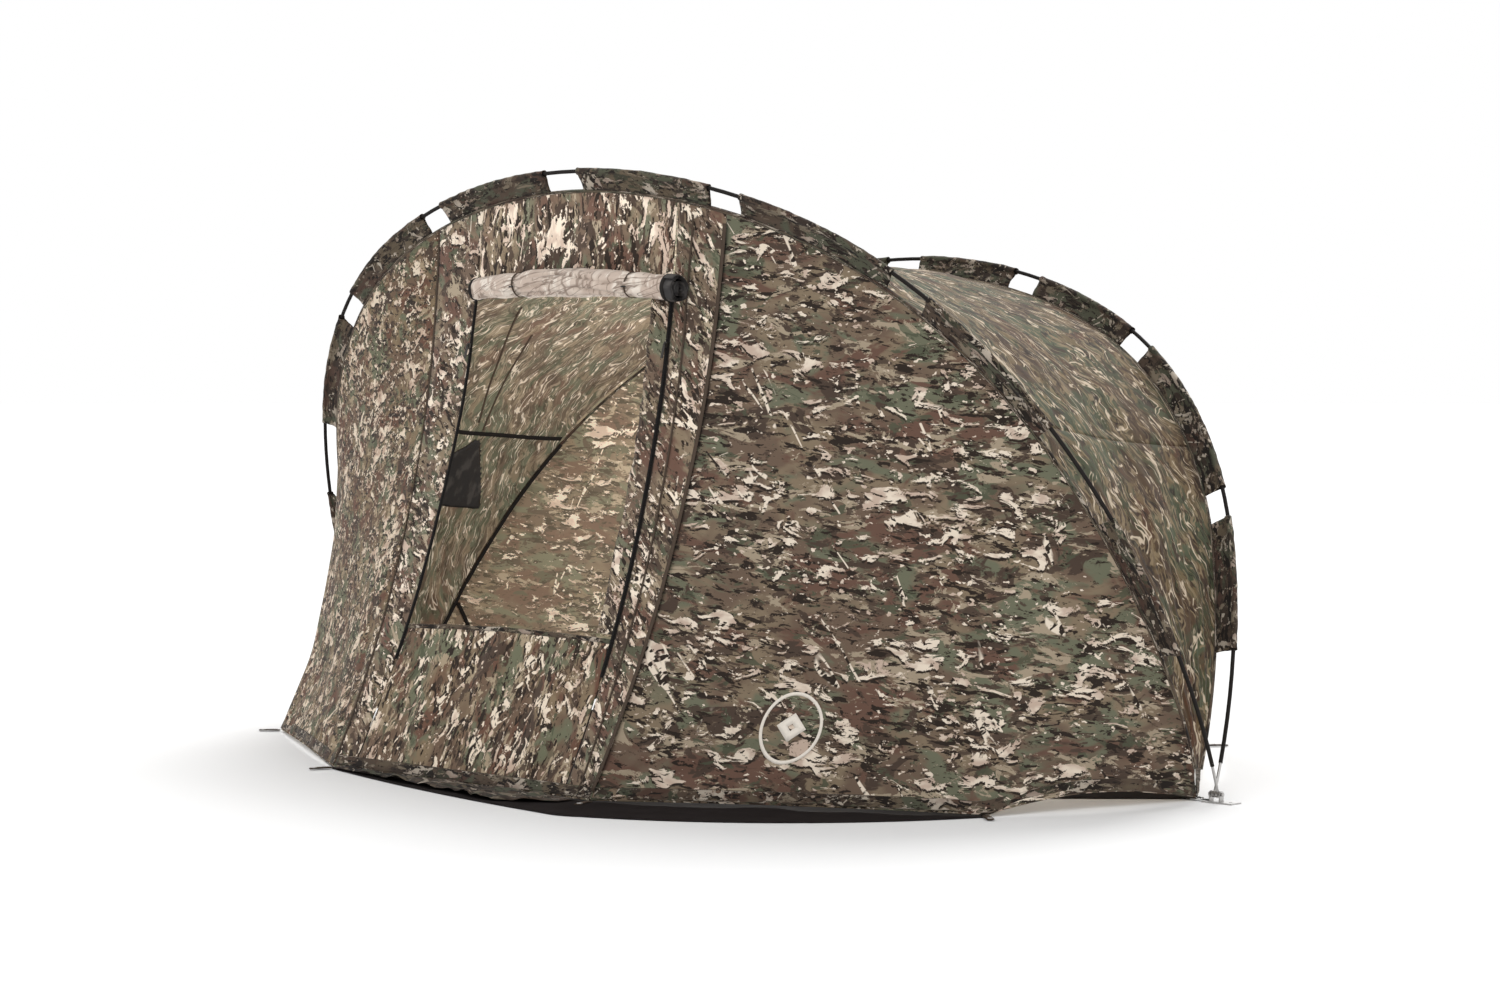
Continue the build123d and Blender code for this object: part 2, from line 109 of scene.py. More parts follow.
def rib_point(rib, s, inset=0.0, off=0.0):
    """Points at pole lengths s, moved inwards in the rib plane by inset and forwards by off."""
    s, inset, off = np.broadcast_arrays(np.asarray(s, float), inset, off)
    x, r = np.zeros(s.shape), np.zeros(s.shape)
    for (cx, cr), radius, a, _, s0, s1 in rib["arcs"]:
        m = (s >= s0) & (s <= s1 + 1e-9)
        f = a + (s - s0) / radius
        x = np.where(m, cx + (radius - inset) * np.sin(f), x)
        r = np.where(m, cr - (radius - inset) * np.cos(f), r)
    t = rib["tilt"]
    return np.stack([x, r * cos(t) - off * sin(t), AXIS + r * sin(t) + off * cos(t)], -1)


def held_at(rib, u):
    """Pole length at a fraction u of the cloth's edge along a rib."""
    return STARTS + (rib["length"] - 2 * STARTS) * u


def length_at_x(rib, x):
    """Pole length at which the crown's seam line stands at x."""
    _, radius, a, _, s0, _ = rib["arcs"][2]
    return s0 + radius * (pi - np.arcsin(np.asarray(x) / (radius - SEAM_INSET)) - a)


# ------------------------------------------------------------------ cloth surfaces
def mix(p, q, t):
    return p + (q - p) * t[..., None]


def unit(v):
    return v / np.linalg.norm(v, axis=-1, keepdims=True)


def drawn_in(p, amount):
    """Points pulled towards the middle of the shelter, as tight cloth is between its held edges."""
    focus = np.stack([np.clip(p[..., 0], -DOOR_SEAM_TOP, DOOR_SEAM_TOP),
                      np.zeros(p.shape[:-1]), np.full(p.shape[:-1], MIDDLE[2])], -1)
    return p + unit(focus - p) * np.asarray(amount)[..., None]


def slack(v):
    return 1 - np.abs(2 * v - 1) ** 3


def along(points, lifts, t):
    """Points at fractions t of a ground line; lifts raises the hem between its pegs."""
    pts = np.array(points, float)
    sizes = np.linalg.norm(np.diff(pts, axis=0), axis=1)
    ends = np.concatenate([[0], np.cumsum(sizes)]) / sizes.sum()
    k = np.clip(np.searchsorted(ends, t, side="right") - 1, 0, len(sizes) - 1)
    f = (t - ends[k]) / (ends[k + 1] - ends[k])
    xy = pts[k] + (pts[k + 1] - pts[k]) * f[..., None]
    z = HEM_Z + np.array(lifts)[k] * np.sin(pi * f)
    return np.concatenate([xy, z[..., None]], -1)


def front_panel(u, v):
    s1 = length_at_x(FRONT, DOOR_SEAM_TOP)
    top = rib_point(FRONT, STARTS + (s1 - STARTS) * u, SEAM_INSET, CLOTH_GAP)
    foot = along([CORNER, FRONT_CORNER, DOOR_FOOT], [0.035, 0.005], u)
    size = np.linalg.norm(top - foot, axis=-1)
    return drawn_in(mix(foot, top, v), WALL_SAG * size / 1.66 * slack(v))


def door_half(v):
    return DOOR_FOOT[0] + (DOOR_SEAM_TOP - DOOR_FOOT[0]) * v


def door_at(x, v, out=0.0):
    x, v, out = np.broadcast_arrays(np.asarray(x, float), np.asarray(v, float), out)
    k = x / door_half(v)
    foot = np.stack([k * DOOR_FOOT[0], np.full(k.shape, DOOR_FOOT[1]), np.full(k.shape, HEM_Z)], -1)
    top = rib_point(FRONT, length_at_x(FRONT, k * DOOR_SEAM_TOP), SEAM_INSET, CLOTH_GAP)
    return drawn_in(mix(foot, top, v), WALL_SAG * slack(v) - out)


def roof(u, v):
    near_bar = np.clip(1 - np.abs(np.minimum(u, 1 - u) - BAR_U) / BAR_U, 0, 1) * np.where(u < 0.5, 1.0, -1.0)
    ends = [held_at(rib, u + tilt * near_bar) for rib, tilt in zip((FRONT, REAR), BAR_TILT)]
    p = rib_point(FRONT, ends[0], SEAM_INSET, -CLOTH_GAP)
    q = rib_point(REAR, ends[1], SEAM_INSET, CLOTH_GAP)
    size = np.linalg.norm(p - q, axis=-1)
    return drawn_in(mix(p, q, v), ROOF_SAG * size / 1.5 * 4 * v * (1 - v))


def rear_wall(u, v):
    top = rib_point(REAR, held_at(REAR, u), SEAM_INSET, -CLOTH_GAP)
    line = [CORNER, REAR_CORNER, (-REAR_CORNER[0], REAR_CORNER[1]), (-CORNER[0], CORNER[1])]
    foot = along(line, [0.03, 0.008, 0.03], u)
    size = np.linalg.norm(top - foot, axis=-1)
    return drawn_in(mix(foot, top, v), WALL_SAG * size / 1.66 * slack(v))


# ------------------------------------------------------------------ wrinkles
def waves(seed, a, b, wavelength, count):
    """Smooth seeded noise of about unit height over the plane (a, b)."""
    rng = np.random.default_rng(seed)
    total = np.zeros(np.broadcast(a, b).shape)
    for _ in range(count):
        k = 2 * pi / (wavelength * (1 + rng.uniform(-0.4, 0.6)))
        t = rng.uniform(0, pi)
        total += np.cos(k * (a * cos(t) + b * sin(t)) + rng.uniform(0, 2 * pi))
    return total / np.sqrt(count / 2)


def pulls(p, corner, seed, reach, folds, height):
    """Folds that fan out from a point where the cloth is held."""
    d = p - np.array(corner)
    far = np.linalg.norm(d, axis=-1)
    across = np.arctan2(d[..., 2], np.hypot(d[..., 0], d[..., 1]))
    turn = np.arctan2(d[..., 1], d[..., 0])
    rng = np.random.default_rng(seed)
    fold = np.sin(folds * (across + 0.6 * turn) + rng.uniform(0, 6) + 1.3 * np.sin(5 * far))
    return height * fold * np.exp(-far / reach) * np.clip(far / 0.08, 0, 1)


# ------------------------------------------------------------------ materials
def material(name):
    m = bpy.data.materials.new(name)
    m.use_nodes = True
    nt = m.node_tree
    return m, nt, nt.nodes["Principled BSDF"]


def node(nt, kind, **settings):
    n = nt.nodes.new(kind)
    for key, value in settings.items():
        if key in n.inputs:
            n.inputs[key].default_value = value
        else:
            setattr(n, key, value)
    return n


def mapping(nt, vector, scale=(1, 1, 1), offset=(0, 0, 0), turn=0.0):
    m = node(nt, "ShaderNodeMapping", Scale=scale, Location=offset, Rotation=(0, 0, turn))
    nt.links.new(vector, m.inputs["Vector"])
    return m.outputs["Vector"]


def mapped(nt, scale, offset=(0, 0, 0), turn=0.0):
    """Cloth coordinates in metres, turned, then scaled and shifted."""
    uv = node(nt, "ShaderNodeUVMap", uv_map="uv").outputs["UV"]
    if turn:
        uv = mapping(nt, uv, turn=turn)
    return mapping(nt, uv, scale, offset)


def noise(nt, vector, scale=1.0, detail=3.0, rough=0.5, distortion=0.0):
    n = node(nt, "ShaderNodeTexNoise", Scale=scale, Detail=detail, Roughness=rough,
             Distortion=distortion)
    nt.links.new(vector, n.inputs["Vector"])
    return n.outputs["Fac"]


def math(nt, operation, a, b, c=None):
    n = node(nt, "ShaderNodeMath", operation=operation)
    for k, value in enumerate((a, b, c)):
        if isinstance(value, (int, float)):
            n.inputs[k].default_value = value
        elif value is not None:
            nt.links.new(value, n.inputs[k])
    return n.outputs[0]


def step(nt, value, at, soft=0.012):
    r = node(nt, "ShaderNodeMapRange", interpolation_type="SMOOTHSTEP")
    r.inputs["From Min"].default_value = at - soft
    r.inputs["From Max"].default_value = at + soft
    nt.links.new(value, r.inputs["Value"])
    return r.outputs["Result"]


def over(nt, below, above, factor, amount=1.0):
    """Colour above laid over colour below where factor is 1."""
    m = node(nt, "ShaderNodeMix", data_type="RGBA")
    if factor is None:
        m.inputs["Factor"].default_value = amount
    else:
        nt.links.new(factor if amount == 1.0 else math(nt, "MULTIPLY", factor, amount), m.inputs["Factor"])
    for socket, colour in ((m.inputs[6], below), (m.inputs[7], above)):
        if isinstance(colour, tuple):
            socket.default_value = (*colour, 1)
        else:
            nt.links.new(colour, socket)
    return m.outputs[2]


BLACKISH, UMBER, BROWN = (0.020, 0.013, 0.009), (0.056, 0.037, 0.027), (0.122, 0.083, 0.058)
RUST, KHAKI, SAGE = (0.112, 0.062, 0.044), (0.185, 0.140, 0.092), (0.120, 0.122, 0.080)
MOSS, TAN, PINK = (0.062, 0.068, 0.042), (0.300, 0.242, 0.172), (0.450, 0.345, 0.275)
CREAM = (0.660, 0.570, 0.465)
THREAD_PITCH, THREAD_HEIGHT = 0.0011, 0.00012


def bands(nt, direction, scale, distortion=0.0):
    """Straight bands across the cloth coordinates."""
    w = node(nt, "ShaderNodeTexWave", bands_direction=direction, Scale=scale, Distortion=distortion,
             Detail=1.0)
    nt.links.new(mapped(nt, (1, 1, 1)), w.inputs["Vector"])
    return w.outputs["Fac"]


def bump(nt, shader, height, strength, distance):
    b = node(nt, "ShaderNodeBump", Strength=strength, Distance=distance)
    nt.links.new(height, b.inputs["Height"])
    nt.links.new(b.outputs["Normal"], shader.inputs["Normal"])


def finish(shader, rough, gloss=None):
    """Roughness, and how strongly the surface reflects where that isn't the usual amount."""
    shader.inputs["Roughness"].default_value = rough
    if gloss is not None:
        shader.inputs["Specular IOR Level"].default_value = gloss


def weave_bump(nt, shader):
    """Plain weave from two crossed waves, with a little slub."""
    threads = [bands(nt, direction, 0.314 / THREAD_PITCH, 0.6) for direction in ("X", "Y")]
    slub = noise(nt, mapped(nt, (60, 9, 1)), 6.0, 4.0, 0.6)
    bump(nt, shader, math(nt, "MULTIPLY_ADD", slub, 1.2, math(nt, "MAXIMUM", *threads)), 0.55, THREAD_HEIGHT)


def cloth_shader(nt, shader, colour):
    nt.links.new(colour, shader.inputs["Base Color"])
    finish(shader, 0.85, 0.18)
    shader.inputs["Sheen Weight"].default_value = 0.05
    shader.inputs["Sheen Roughness"].default_value = 0.6
    weave_bump(nt, shader)


def hairline(nt, value, at, wide, soft):
    """1 along the lines where value crosses a level, 0 beside them."""
    away = math(nt, "ABSOLUTE", math(nt, "SUBTRACT", value, at), None)
    return math(nt, "SUBTRACT", 1.0, step(nt, away, wide, soft))


def toned(nt, shader, colour, painted_lighting, faded, rich):
    """Wear and the coating behind the print: a paler, flatter version of it. The brightness factor is painted
    light and shade: it makes each panel's copy of the print lighter or darker in place of the light that
    panel gets.
    """
    if faded:
        colour = over(nt, colour, (0.200, 0.172, 0.122), None, faded)
    if painted_lighting != 1.0 or rich != 1.0:
        g = node(nt, "ShaderNodeHueSaturation", Value=painted_lighting, Saturation=rich)
        nt.links.new(colour, g.inputs["Color"])
        colour = g.outputs["Color"]
    cloth_shader(nt, shader, colour)


def camo(name, run=1.4, offset=0.0, turn=0.0, painted_lighting=1.0, faded=0.0, fine=1.0, dark=0.0, pale=0.0, rich=1.0):
    """Printed woodland camouflage. run is how much longer its shapes are along the print than across,
    fine makes the shapes smaller, and dark and pale give more of the dark slivers or pale flecks."""
    m, nt, shader = material(name)

    def field(along, across, detail=4.0, rough=0.6, distortion=0.4, shift=0.0, drop=0.0, twist=0.0):
        across, along = across * fine, along * fine / (run / 1.4)
        move = (offset * 3.7 + shift, offset * 1.9 - shift + drop * across, shift)
        return noise(nt, mapped(nt, (along, across, 1), move, turn + twist), 1.0, detail, rough, distortion)

    def where(value, at, soft=0.008, group=None, pull=0.5):
        if group is not None:
            value = math(nt, "MULTIPLY_ADD", math(nt, "SUBTRACT", group, 0.5), pull, value)
        return step(nt, value, at, soft)

    group_a, group_b = field(3.4, 5.0, 2, shift=71), field(4.0, 6.0, 2, shift=83)
    base = over(nt, BROWN, KHAKI, where(field(4.0, 6.0, 3, shift=3), 0.51, 0.06))
    base = over(nt, base, SAGE, where(field(4.6, 7.5, 4, 0.55, 0.8, 7), 0.535, 0.035))
    base = over(nt, base, RUST, where(field(4.8, 9.0, 4, 0.55, 0.8, 41), 0.560, 0.040))
    base = over(nt, base, UMBER, where(field(7.0, 12, 5, 0.62, 0.9, 5), 0.575, 0.016))
    base = over(nt, base, MOSS, where(field(10, 19, 5, 0.64, 0.7, 11), 0.590, 0.014), 0.85)
    base = over(nt, base, TAN, where(field(9.0, 19, 6, 0.68, 0.7, 13), 0.572, 0.009))
    base = over(nt, base, UMBER, where(field(17, 40, 5, 0.64, 0.4, 19), 0.588 - dark, 0.010, group_b, 0.30),
                0.9)
    blob = (15, 29, 6, 0.66, 0.7)
    base = over(nt, base, BLACKISH, where(field(*blob, 29, 0.0075), 0.597 - pale, 0.008, group_a, 0.42))
    base = over(nt, base, BLACKISH, where(field(17, 50, 5, 0.64, 0.4, 23), 0.592 - dark, 0.008, group_b,
                                          0.35))
    light_tone = over(nt, CREAM, PINK, where(field(12, 17, 3, shift=51), 0.52, 0.08))
    base = over(nt, base, light_tone, where(field(*blob, 29), 0.592 - pale, 0.006, group_a, 0.42))
    base = over(nt, base, BLACKISH, where(field(30, 70, 4, 0.62, 0.4, 31), 0.628 - dark, 0.010))
    base = over(nt, base, light_tone, where(field(40, 60, 3, 0.55, 0.2, 37), 0.662 - pale, 0.010, group_b,
                                            0.35))
    twig = math(nt, "MULTIPLY", hairline(nt, field(2.4, 16, 2, 0.4, 0.2, 91, twist=0.9), 0.5, 0.016, 0.006),
                where(field(6, 8, 2, shift=97, twist=0.9), 0.60, 0.01))
    base = over(nt, base, over(nt, BLACKISH, CREAM, where(field(60, 30, 2, shift=99, twist=0.9), 0.47, 0.02)),
                twig)
    toned(nt, shader, base, painted_lighting, faded, rich)
    return m


def grass(name, offset=0.0, turn=0.0, painted_lighting=1.0, faded=0.0, contrast=1.0, fine=1.0, rich=1.0):
    """The same print pulled into long curling streaks, as on the roof; fine sets them closer together."""
    m, nt, shader = material(name)

    flow = mapped(nt, (1, 1, 1), turn=turn)
    bend = math(nt, "MULTIPLY", noise(nt, mapping(nt, flow, (2.4, 2.8, 1)), 1.0, 2.0), 0.20)
    curl = noise(nt, mapping(nt, flow, (11, 17 * fine, 1)), 1.0, 2.0)
    bend = math(nt, "MULTIPLY_ADD", curl, 0.032 / fine, bend)
    shift_up = node(nt, "ShaderNodeCombineXYZ")
    nt.links.new(bend, shift_up.inputs["Y"])
    bent = node(nt, "ShaderNodeVectorMath", operation="ADD")
    nt.links.new(flow, bent.inputs[0])
    nt.links.new(shift_up.outputs[0], bent.inputs[1])

    def field(along, across, detail=4.0, rough=0.6, distortion=0.3, shift=0.0):
        vec = mapping(nt, bent.outputs[0], (along, across * fine, 1),
                      (offset * 3.1 + shift, offset * 1.7 - shift, shift))
        return noise(nt, vec, 1.0, detail, rough, distortion)

    def blades(along, across, wide, at, shift):
        """Thin curling lines, broken into lengths."""
        line = hairline(nt, field(along, across, 2, 0.5, 0.6, shift), 0.5, wide, wide * 0.6)
        lengths = step(nt, field(along * 1.5, across * 0.6, 3, 0.6, 0.2, shift + 3), at, 0.03)
        return math(nt, "MULTIPLY", line, lengths)

    base = over(nt, (0.092, 0.064, 0.045), (0.090, 0.098, 0.064),
                step(nt, field(2.6, 6.0, 4, shift=2), 0.49, 0.05))
    base = over(nt, base, RUST, step(nt, field(3.2, 11, 4, shift=33), 0.57, 0.04), 0.8)
    base = over(nt, base, MOSS, step(nt, field(4.5, 16, 5, shift=5), 0.54, 0.04), 0.9)
    base = over(nt, base, KHAKI, step(nt, field(6.0, 26, 5, shift=9), 0.56, 0.03), 0.8)
    base = over(nt, base, UMBER, step(nt, field(13, 80, 5, 0.6, 0.5, 13), 0.56, 0.03), 0.9 * contrast)
    base = over(nt, base, BLACKISH, blades(7.0, 58, 0.022, 0.50, 61), 0.85 * contrast)
    base = over(nt, base, TAN, step(nt, field(13, 95, 5, 0.6, 0.5, 17), 0.595, 0.02), 0.7 * contrast)
    base = over(nt, base, TAN, blades(7.5, 66, 0.022, 0.48, 71), 0.8 * contrast)
    base = over(nt, base, CREAM, blades(7.0, 52, 0.018, 0.505, 81), contrast)
    toned(nt, shader, base, painted_lighting, faded, rich)
    return m


def tape_material(name, colour, ribs=420.0):
    """Webbing and binding tape: ribs across the run, with uneven dye."""
    m, nt, shader = material(name)
    tone = noise(nt, mapped(nt, (40, 90, 1)), 1.0, 4.0)
    lighter = tuple(min(1.0, c * 1.9 + 0.012) for c in colour)
    nt.links.new(over(nt, colour, lighter, tone, 0.55), shader.inputs["Base Color"])
    bump(nt, shader, bands(nt, "X", ribs / 3.14, 0.8), 0.7, 0.0003)
    finish(shader, 0.8, 0.15)
    return m


def plain_material(name, colour, rough, metallic=0.0, scale=60.0, vary=0.35, height=0.0002, gloss=0.5):
    """Hard parts: a base colour that varies a little, scuffs in the gloss and a fine bump."""
    m, nt, shader = material(name)
    place = node(nt, "ShaderNodeTexCoord").outputs["Object"]
    tone = noise(nt, place, scale, 5.0, 0.6)
    lighter = tuple(min(1.0, c * (1 + vary) + 0.01) for c in colour)
    nt.links.new(over(nt, colour, lighter, tone), shader.inputs["Base Color"])
    r = node(nt, "ShaderNodeMapRange")
    r.inputs["To Min"].default_value = rough - 0.08
    r.inputs["To Max"].default_value = min(1.0, rough + 0.12)
    nt.links.new(tone, r.inputs["Value"])
    nt.links.new(r.outputs["Result"], shader.inputs["Roughness"])
    bump(nt, shader, noise(nt, place, scale * 6, 3.0), 0.4, height)
    shader.inputs["Metallic"].default_value = metallic
    shader.inputs["Specular IOR Level"].default_value = gloss
    return m


# The brightness factors below are painted light and shade. The front panels, header, sill and door strips are
# brightened as painted light where the lamps leave them dimmer, and the header most.
CAMO_RIGHT = camo("camo_right", offset=2.0, turn=0.12, painted_lighting=1.12, fine=0.88, dark=0.008, pale=0.002)
CAMO_LEFT = camo("camo_left", run=0.9, offset=9.0, painted_lighting=1.08, pale=0.018, dark=0.006, rich=1.2)
CAMO_HEAD = camo("camo_header", run=1.2, offset=15.0, turn=pi / 2, painted_lighting=1.60, fine=0.78, pale=0.002,
                 dark=0.008)
CAMO_UP = camo("camo_upright", run=1.15, offset=11.0, turn=pi / 2, painted_lighting=1.26, fine=0.82, pale=0.012,
               dark=0.008, rich=1.1)
CAMO_STRIP = camo("camo_strip", run=1.3, offset=31.0, turn=0.75, painted_lighting=1.35, dark=0.010, pale=0.014)
# Sleeves, hem bands, bindings and hub gussets: the print is darkened, with more dark slivers, as painted
# shade.
CAMO_SLEEVE = camo("camo_sleeve", offset=37.0, painted_lighting=0.60, dark=0.02)
# Mud flap: the print is darkened, with more dark slivers, as painted shade.
CAMO_FLAP = camo("camo_flap", run=1.9, offset=61.0, painted_lighting=0.50, dark=0.03)
CAMO_REAR = camo("camo_rear", offset=47.0)
# Roof: the print is darkened as painted shade, to offset the sunlight on its top.
CAMO_ROOF = grass("camo_roof", offset=21.0, turn=0.06, painted_lighting=0.76, fine=0.42, rich=1.35)
# Inside faces: paler for the coating behind the print, and strongly brightened as painted light that stands
# for daylight through the cloth.
INSIDE = camo("camo_inside", offset=53.0, faded=0.30, painted_lighting=2.25, dark=0.006)
INSIDE_ROOF = grass("camo_inside_roof", offset=21.0, faded=0.12, painted_lighting=1.7, contrast=0.75, fine=0.75)
WEBBING = tape_material("black_webbing", (0.011, 0.009, 0.008))
BINDING = tape_material("dark_binding", (0.030, 0.023, 0.018))
CAMO_WEB = tape_material("brown_webbing", (0.060, 0.042, 0.030))
THREAD = tape_material("thread", (0.060, 0.046, 0.034), 1400.0)
BLACK_ZIP = plain_material("zip_coil", (0.010, 0.009, 0.009), 0.5, scale=300.0, gloss=0.3)
POLE = plain_material("pole_fibreglass", (0.009, 0.007, 0.006), 0.6, scale=90.0, gloss=0.10)
STEEL = plain_material("plain_steel", (0.44, 0.43, 0.42), 0.34, 1.0, 140.0, 0.2)
CORD = tape_material("shock_cord", (0.03, 0.03, 0.03), 900.0)
FLOOR_PE = plain_material("groundsheet_sheet", (0.007, 0.005, 0.005), 0.8, scale=14.0, vary=1.1,
                          height=0.001, gloss=0.05)
PRINT = plain_material("pale_print", (0.72, 0.66, 0.58), 0.75, scale=120.0, vary=0.12)


def lining():
    """Pale reverse of the door cloth: the print shows through faintly, and dark lines along its folds are
    painted shade.
    """
    m, nt, shader = material("door_reverse")
    a = noise(nt, mapped(nt, (9, 5, 1), (4, 2, 0)), 1.0, 4.0, 0.55, 0.9)
    b = noise(nt, mapped(nt, (30, 12, 1), (9, 7, 0)), 1.0, 5.0, 0.6, 1.2)
    fold = noise(nt, mapped(nt, (5, 34, 1), (2, 5, 0), 0.25), 1.0, 3.0, 0.55, 0.8)
    col = over(nt, (0.66, 0.560, 0.475), (0.54, 0.430, 0.355), step(nt, a, 0.50, 0.07))
    col = over(nt, col, (0.80, 0.720, 0.630), step(nt, b, 0.57, 0.03), 0.85)
    col = over(nt, col, (0.26, 0.190, 0.145), step(nt, math(nt, "SUBTRACT", 1.0, b), 0.60, 0.02), 0.8)
    # Dark lines along the folds: painted shade in the creases.
    col = over(nt, col, (0.24, 0.175, 0.135), hairline(nt, fold, 0.5, 0.022, 0.016), 0.9)
    nt.links.new(col, shader.inputs["Base Color"])
    shader.inputs["Roughness"].default_value = 0.7
    shader.inputs["Sheen Weight"].default_value = 0.15
    weave_bump(nt, shader)
    return m


def mesh_cloth():
    """Black insect mesh: fine holes in a dark knit, with lighter grey patches that are painted glints."""
    m, nt, shader = material("insect_mesh")
    yarn = math(nt, "MAXIMUM", *[bands(nt, direction, 1 / (0.0016 * 3.14)) for direction in ("X", "Y")])
    knit = over(nt, (0.006, 0.005, 0.005), (0.030, 0.027, 0.026), yarn)
    # Lighter grey patches scattered over the knit: painted glints.
    painted_glint = step(nt, noise(nt, mapped(nt, (11, 24, 1)), 1.0, 4.0), 0.56, 0.05)
    nt.links.new(over(nt, knit, (0.085, 0.076, 0.070), painted_glint, 0.6), shader.inputs["Base Color"])
    bump(nt, shader, yarn, 0.8, 0.0003)
    finish(shader, 0.7)
    return m


LINING, MESH = lining(), mesh_cloth()
FAN = {("base", "front_rib"): (180.0, TILT_FRONT), ("front_rib", "rear_rib"): (TILT_FRONT, TILT_REAR),
       ("rear_rib", "rear_hem"): (TILT_REAR, 0.0)}
FRONT_FAN, ROOF_FAN, REAR_FAN = FAN


# ------------------------------------------------------------------ mesh helpers
def new_mesh(name, verts, faces, uvs, mats, smooth=True):
    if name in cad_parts:
        name += "_cloth"
    me = bpy.data.meshes.new(name)
    me.from_pydata([tuple(v) for v in np.asarray(verts, float).reshape(-1, 3)], [], faces)
    for m in mats:
        me.materials.append(m)
    if uvs is not None:
        layer = me.uv_layers.new(name="uv")
        loops = np.zeros(len(me.loops), np.int32)
        me.loops.foreach_get("vertex_index", loops)
        layer.data.foreach_set("uv", np.asarray(uvs, np.float32).reshape(-1, 2)[loops].ravel())
    me.polygons.foreach_set("use_smooth", [smooth] * len(me.polygons))
    me.update()
    obj = bpy.data.objects.new(name, me)
    bpy.context.scene.collection.objects.link(obj)
    return obj


def fan_out(obj):
    """Bakes the piece's placement into its mesh and works out each vertex's angle about the hub line; nothing
    uses the angles.
    """
    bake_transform(obj)
    co = np.array([v.co for v in obj.data.vertices], float)
    t = np.degrees(np.arctan2(co[:, 2] - AXIS, co[:, 1]))
    t = np.where(t < -90, t + 360, t)


def settle(obj, where, nodes=()):
    """Body or fan that a piece goes with, and the CAD nodes it stands for."""
    if isinstance(where, tuple):
        fan_out(obj)
    else:
        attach(obj, where)
    if nodes:
        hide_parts(*nodes)
    return obj


def solidify(obj, thick, offset=0.0, second=0):
    """Gives a sheet its thickness; second is 1 where its far side has the second material."""
    m = obj.modifiers.new("cloth", "SOLIDIFY")
    m.thickness, m.offset, m.material_offset = thick, offset, second


def turned_out(n, p):
    """Normals n at points p, all turned away from the middle of the shelter."""
    return np.where(((n * (p - MIDDLE)).sum(-1) > 0)[..., None], n, -n)


def grid_faces(nu, nv, flip=False, wrap=False):
    faces = []
    for i in range(nu - 1 + (1 if wrap else 0)):
        for j in range(nv - 1):
            a, b = i * nv + j, ((i + 1) % nu) * nv + j
            quad = (a, b, b + 1, a + 1)
            faces.append(quad[::-1] if flip else quad)
    return faces


def panel(name, f, us, vs, uv, mats, where, nodes=(), crease=None, lift=0.0, thick=0.0009,
          cut=None):
    """A cloth panel on the surface f, with its own thickness, wrinkles and flat size."""
    U, V = np.meshgrid(us, vs, indexing="ij")
    flat = f(U, V)
    across = np.cross(np.gradient(flat, axis=0), np.gradient(flat, axis=1))
    n = turned_out(across / np.maximum(np.linalg.norm(across, axis=-1, keepdims=True), 1e-9), flat)
    height = np.full(U.shape, float(lift)) + (crease(U, V, flat) if crease else 0.0)
    faces = grid_faces(*U.shape, flip=(across * n).sum(-1).mean() < 0)
    if cut:
        inside = ~cut(U, V).reshape(-1)
        faces = [q for q in faces if all(inside[k] for k in q)]
    obj = new_mesh(name, flat + n * height[..., None], faces, uv(U, V, flat), mats)
    solidify(obj, thick, -1.0, len(mats) - 1)
    used = np.zeros(U.size, bool)
    used[np.array(faces).ravel()] = True
    used = used.reshape(U.shape)
    return settle(obj, where, nodes)


def steps(a, b, pitch):
    return np.linspace(a, b, max(3, int(abs(b - a) / pitch / COARSE) + 1))


def distances(line):
    """How far along a line of points each point is."""
    return np.concatenate([[0], np.cumsum(np.linalg.norm(np.diff(line, axis=0), axis=1))])


def ribbon(name, line, normal, width, thick, mat, where, nodes=(), slot="webbing", lift=0.0):
    """A flat tape along a line of points; normal is its outward side at each point."""
    side = unit(np.cross(np.gradient(line, axis=0), normal))
    run = distances(line)
    profile = [(-0.5, 0.25), (-0.5, 0.8), (-0.42, 1.0), (0.42, 1.0), (0.5, 0.8), (0.5, 0.25), (0.42, 0),
               (-0.42, 0)]
    verts, uvs = [], []
    for a, h in profile:
        verts.append(line + side * a * width + normal * (lift + h * thick))
        uvs.append(np.stack([run, np.full(len(run), a * width + 0.1 * h)], -1))
    verts, uvs = np.stack(verts), np.stack(uvs)
    count = len(line)
    faces = grid_faces(len(profile), count, wrap=True)
    faces.append(tuple(i * count for i in range(len(profile)))[::-1])
    faces.append(tuple(i * count + count - 1 for i in range(len(profile))))
    obj = new_mesh(name, verts, faces, uvs, [mat])
    return settle(obj, where, nodes)


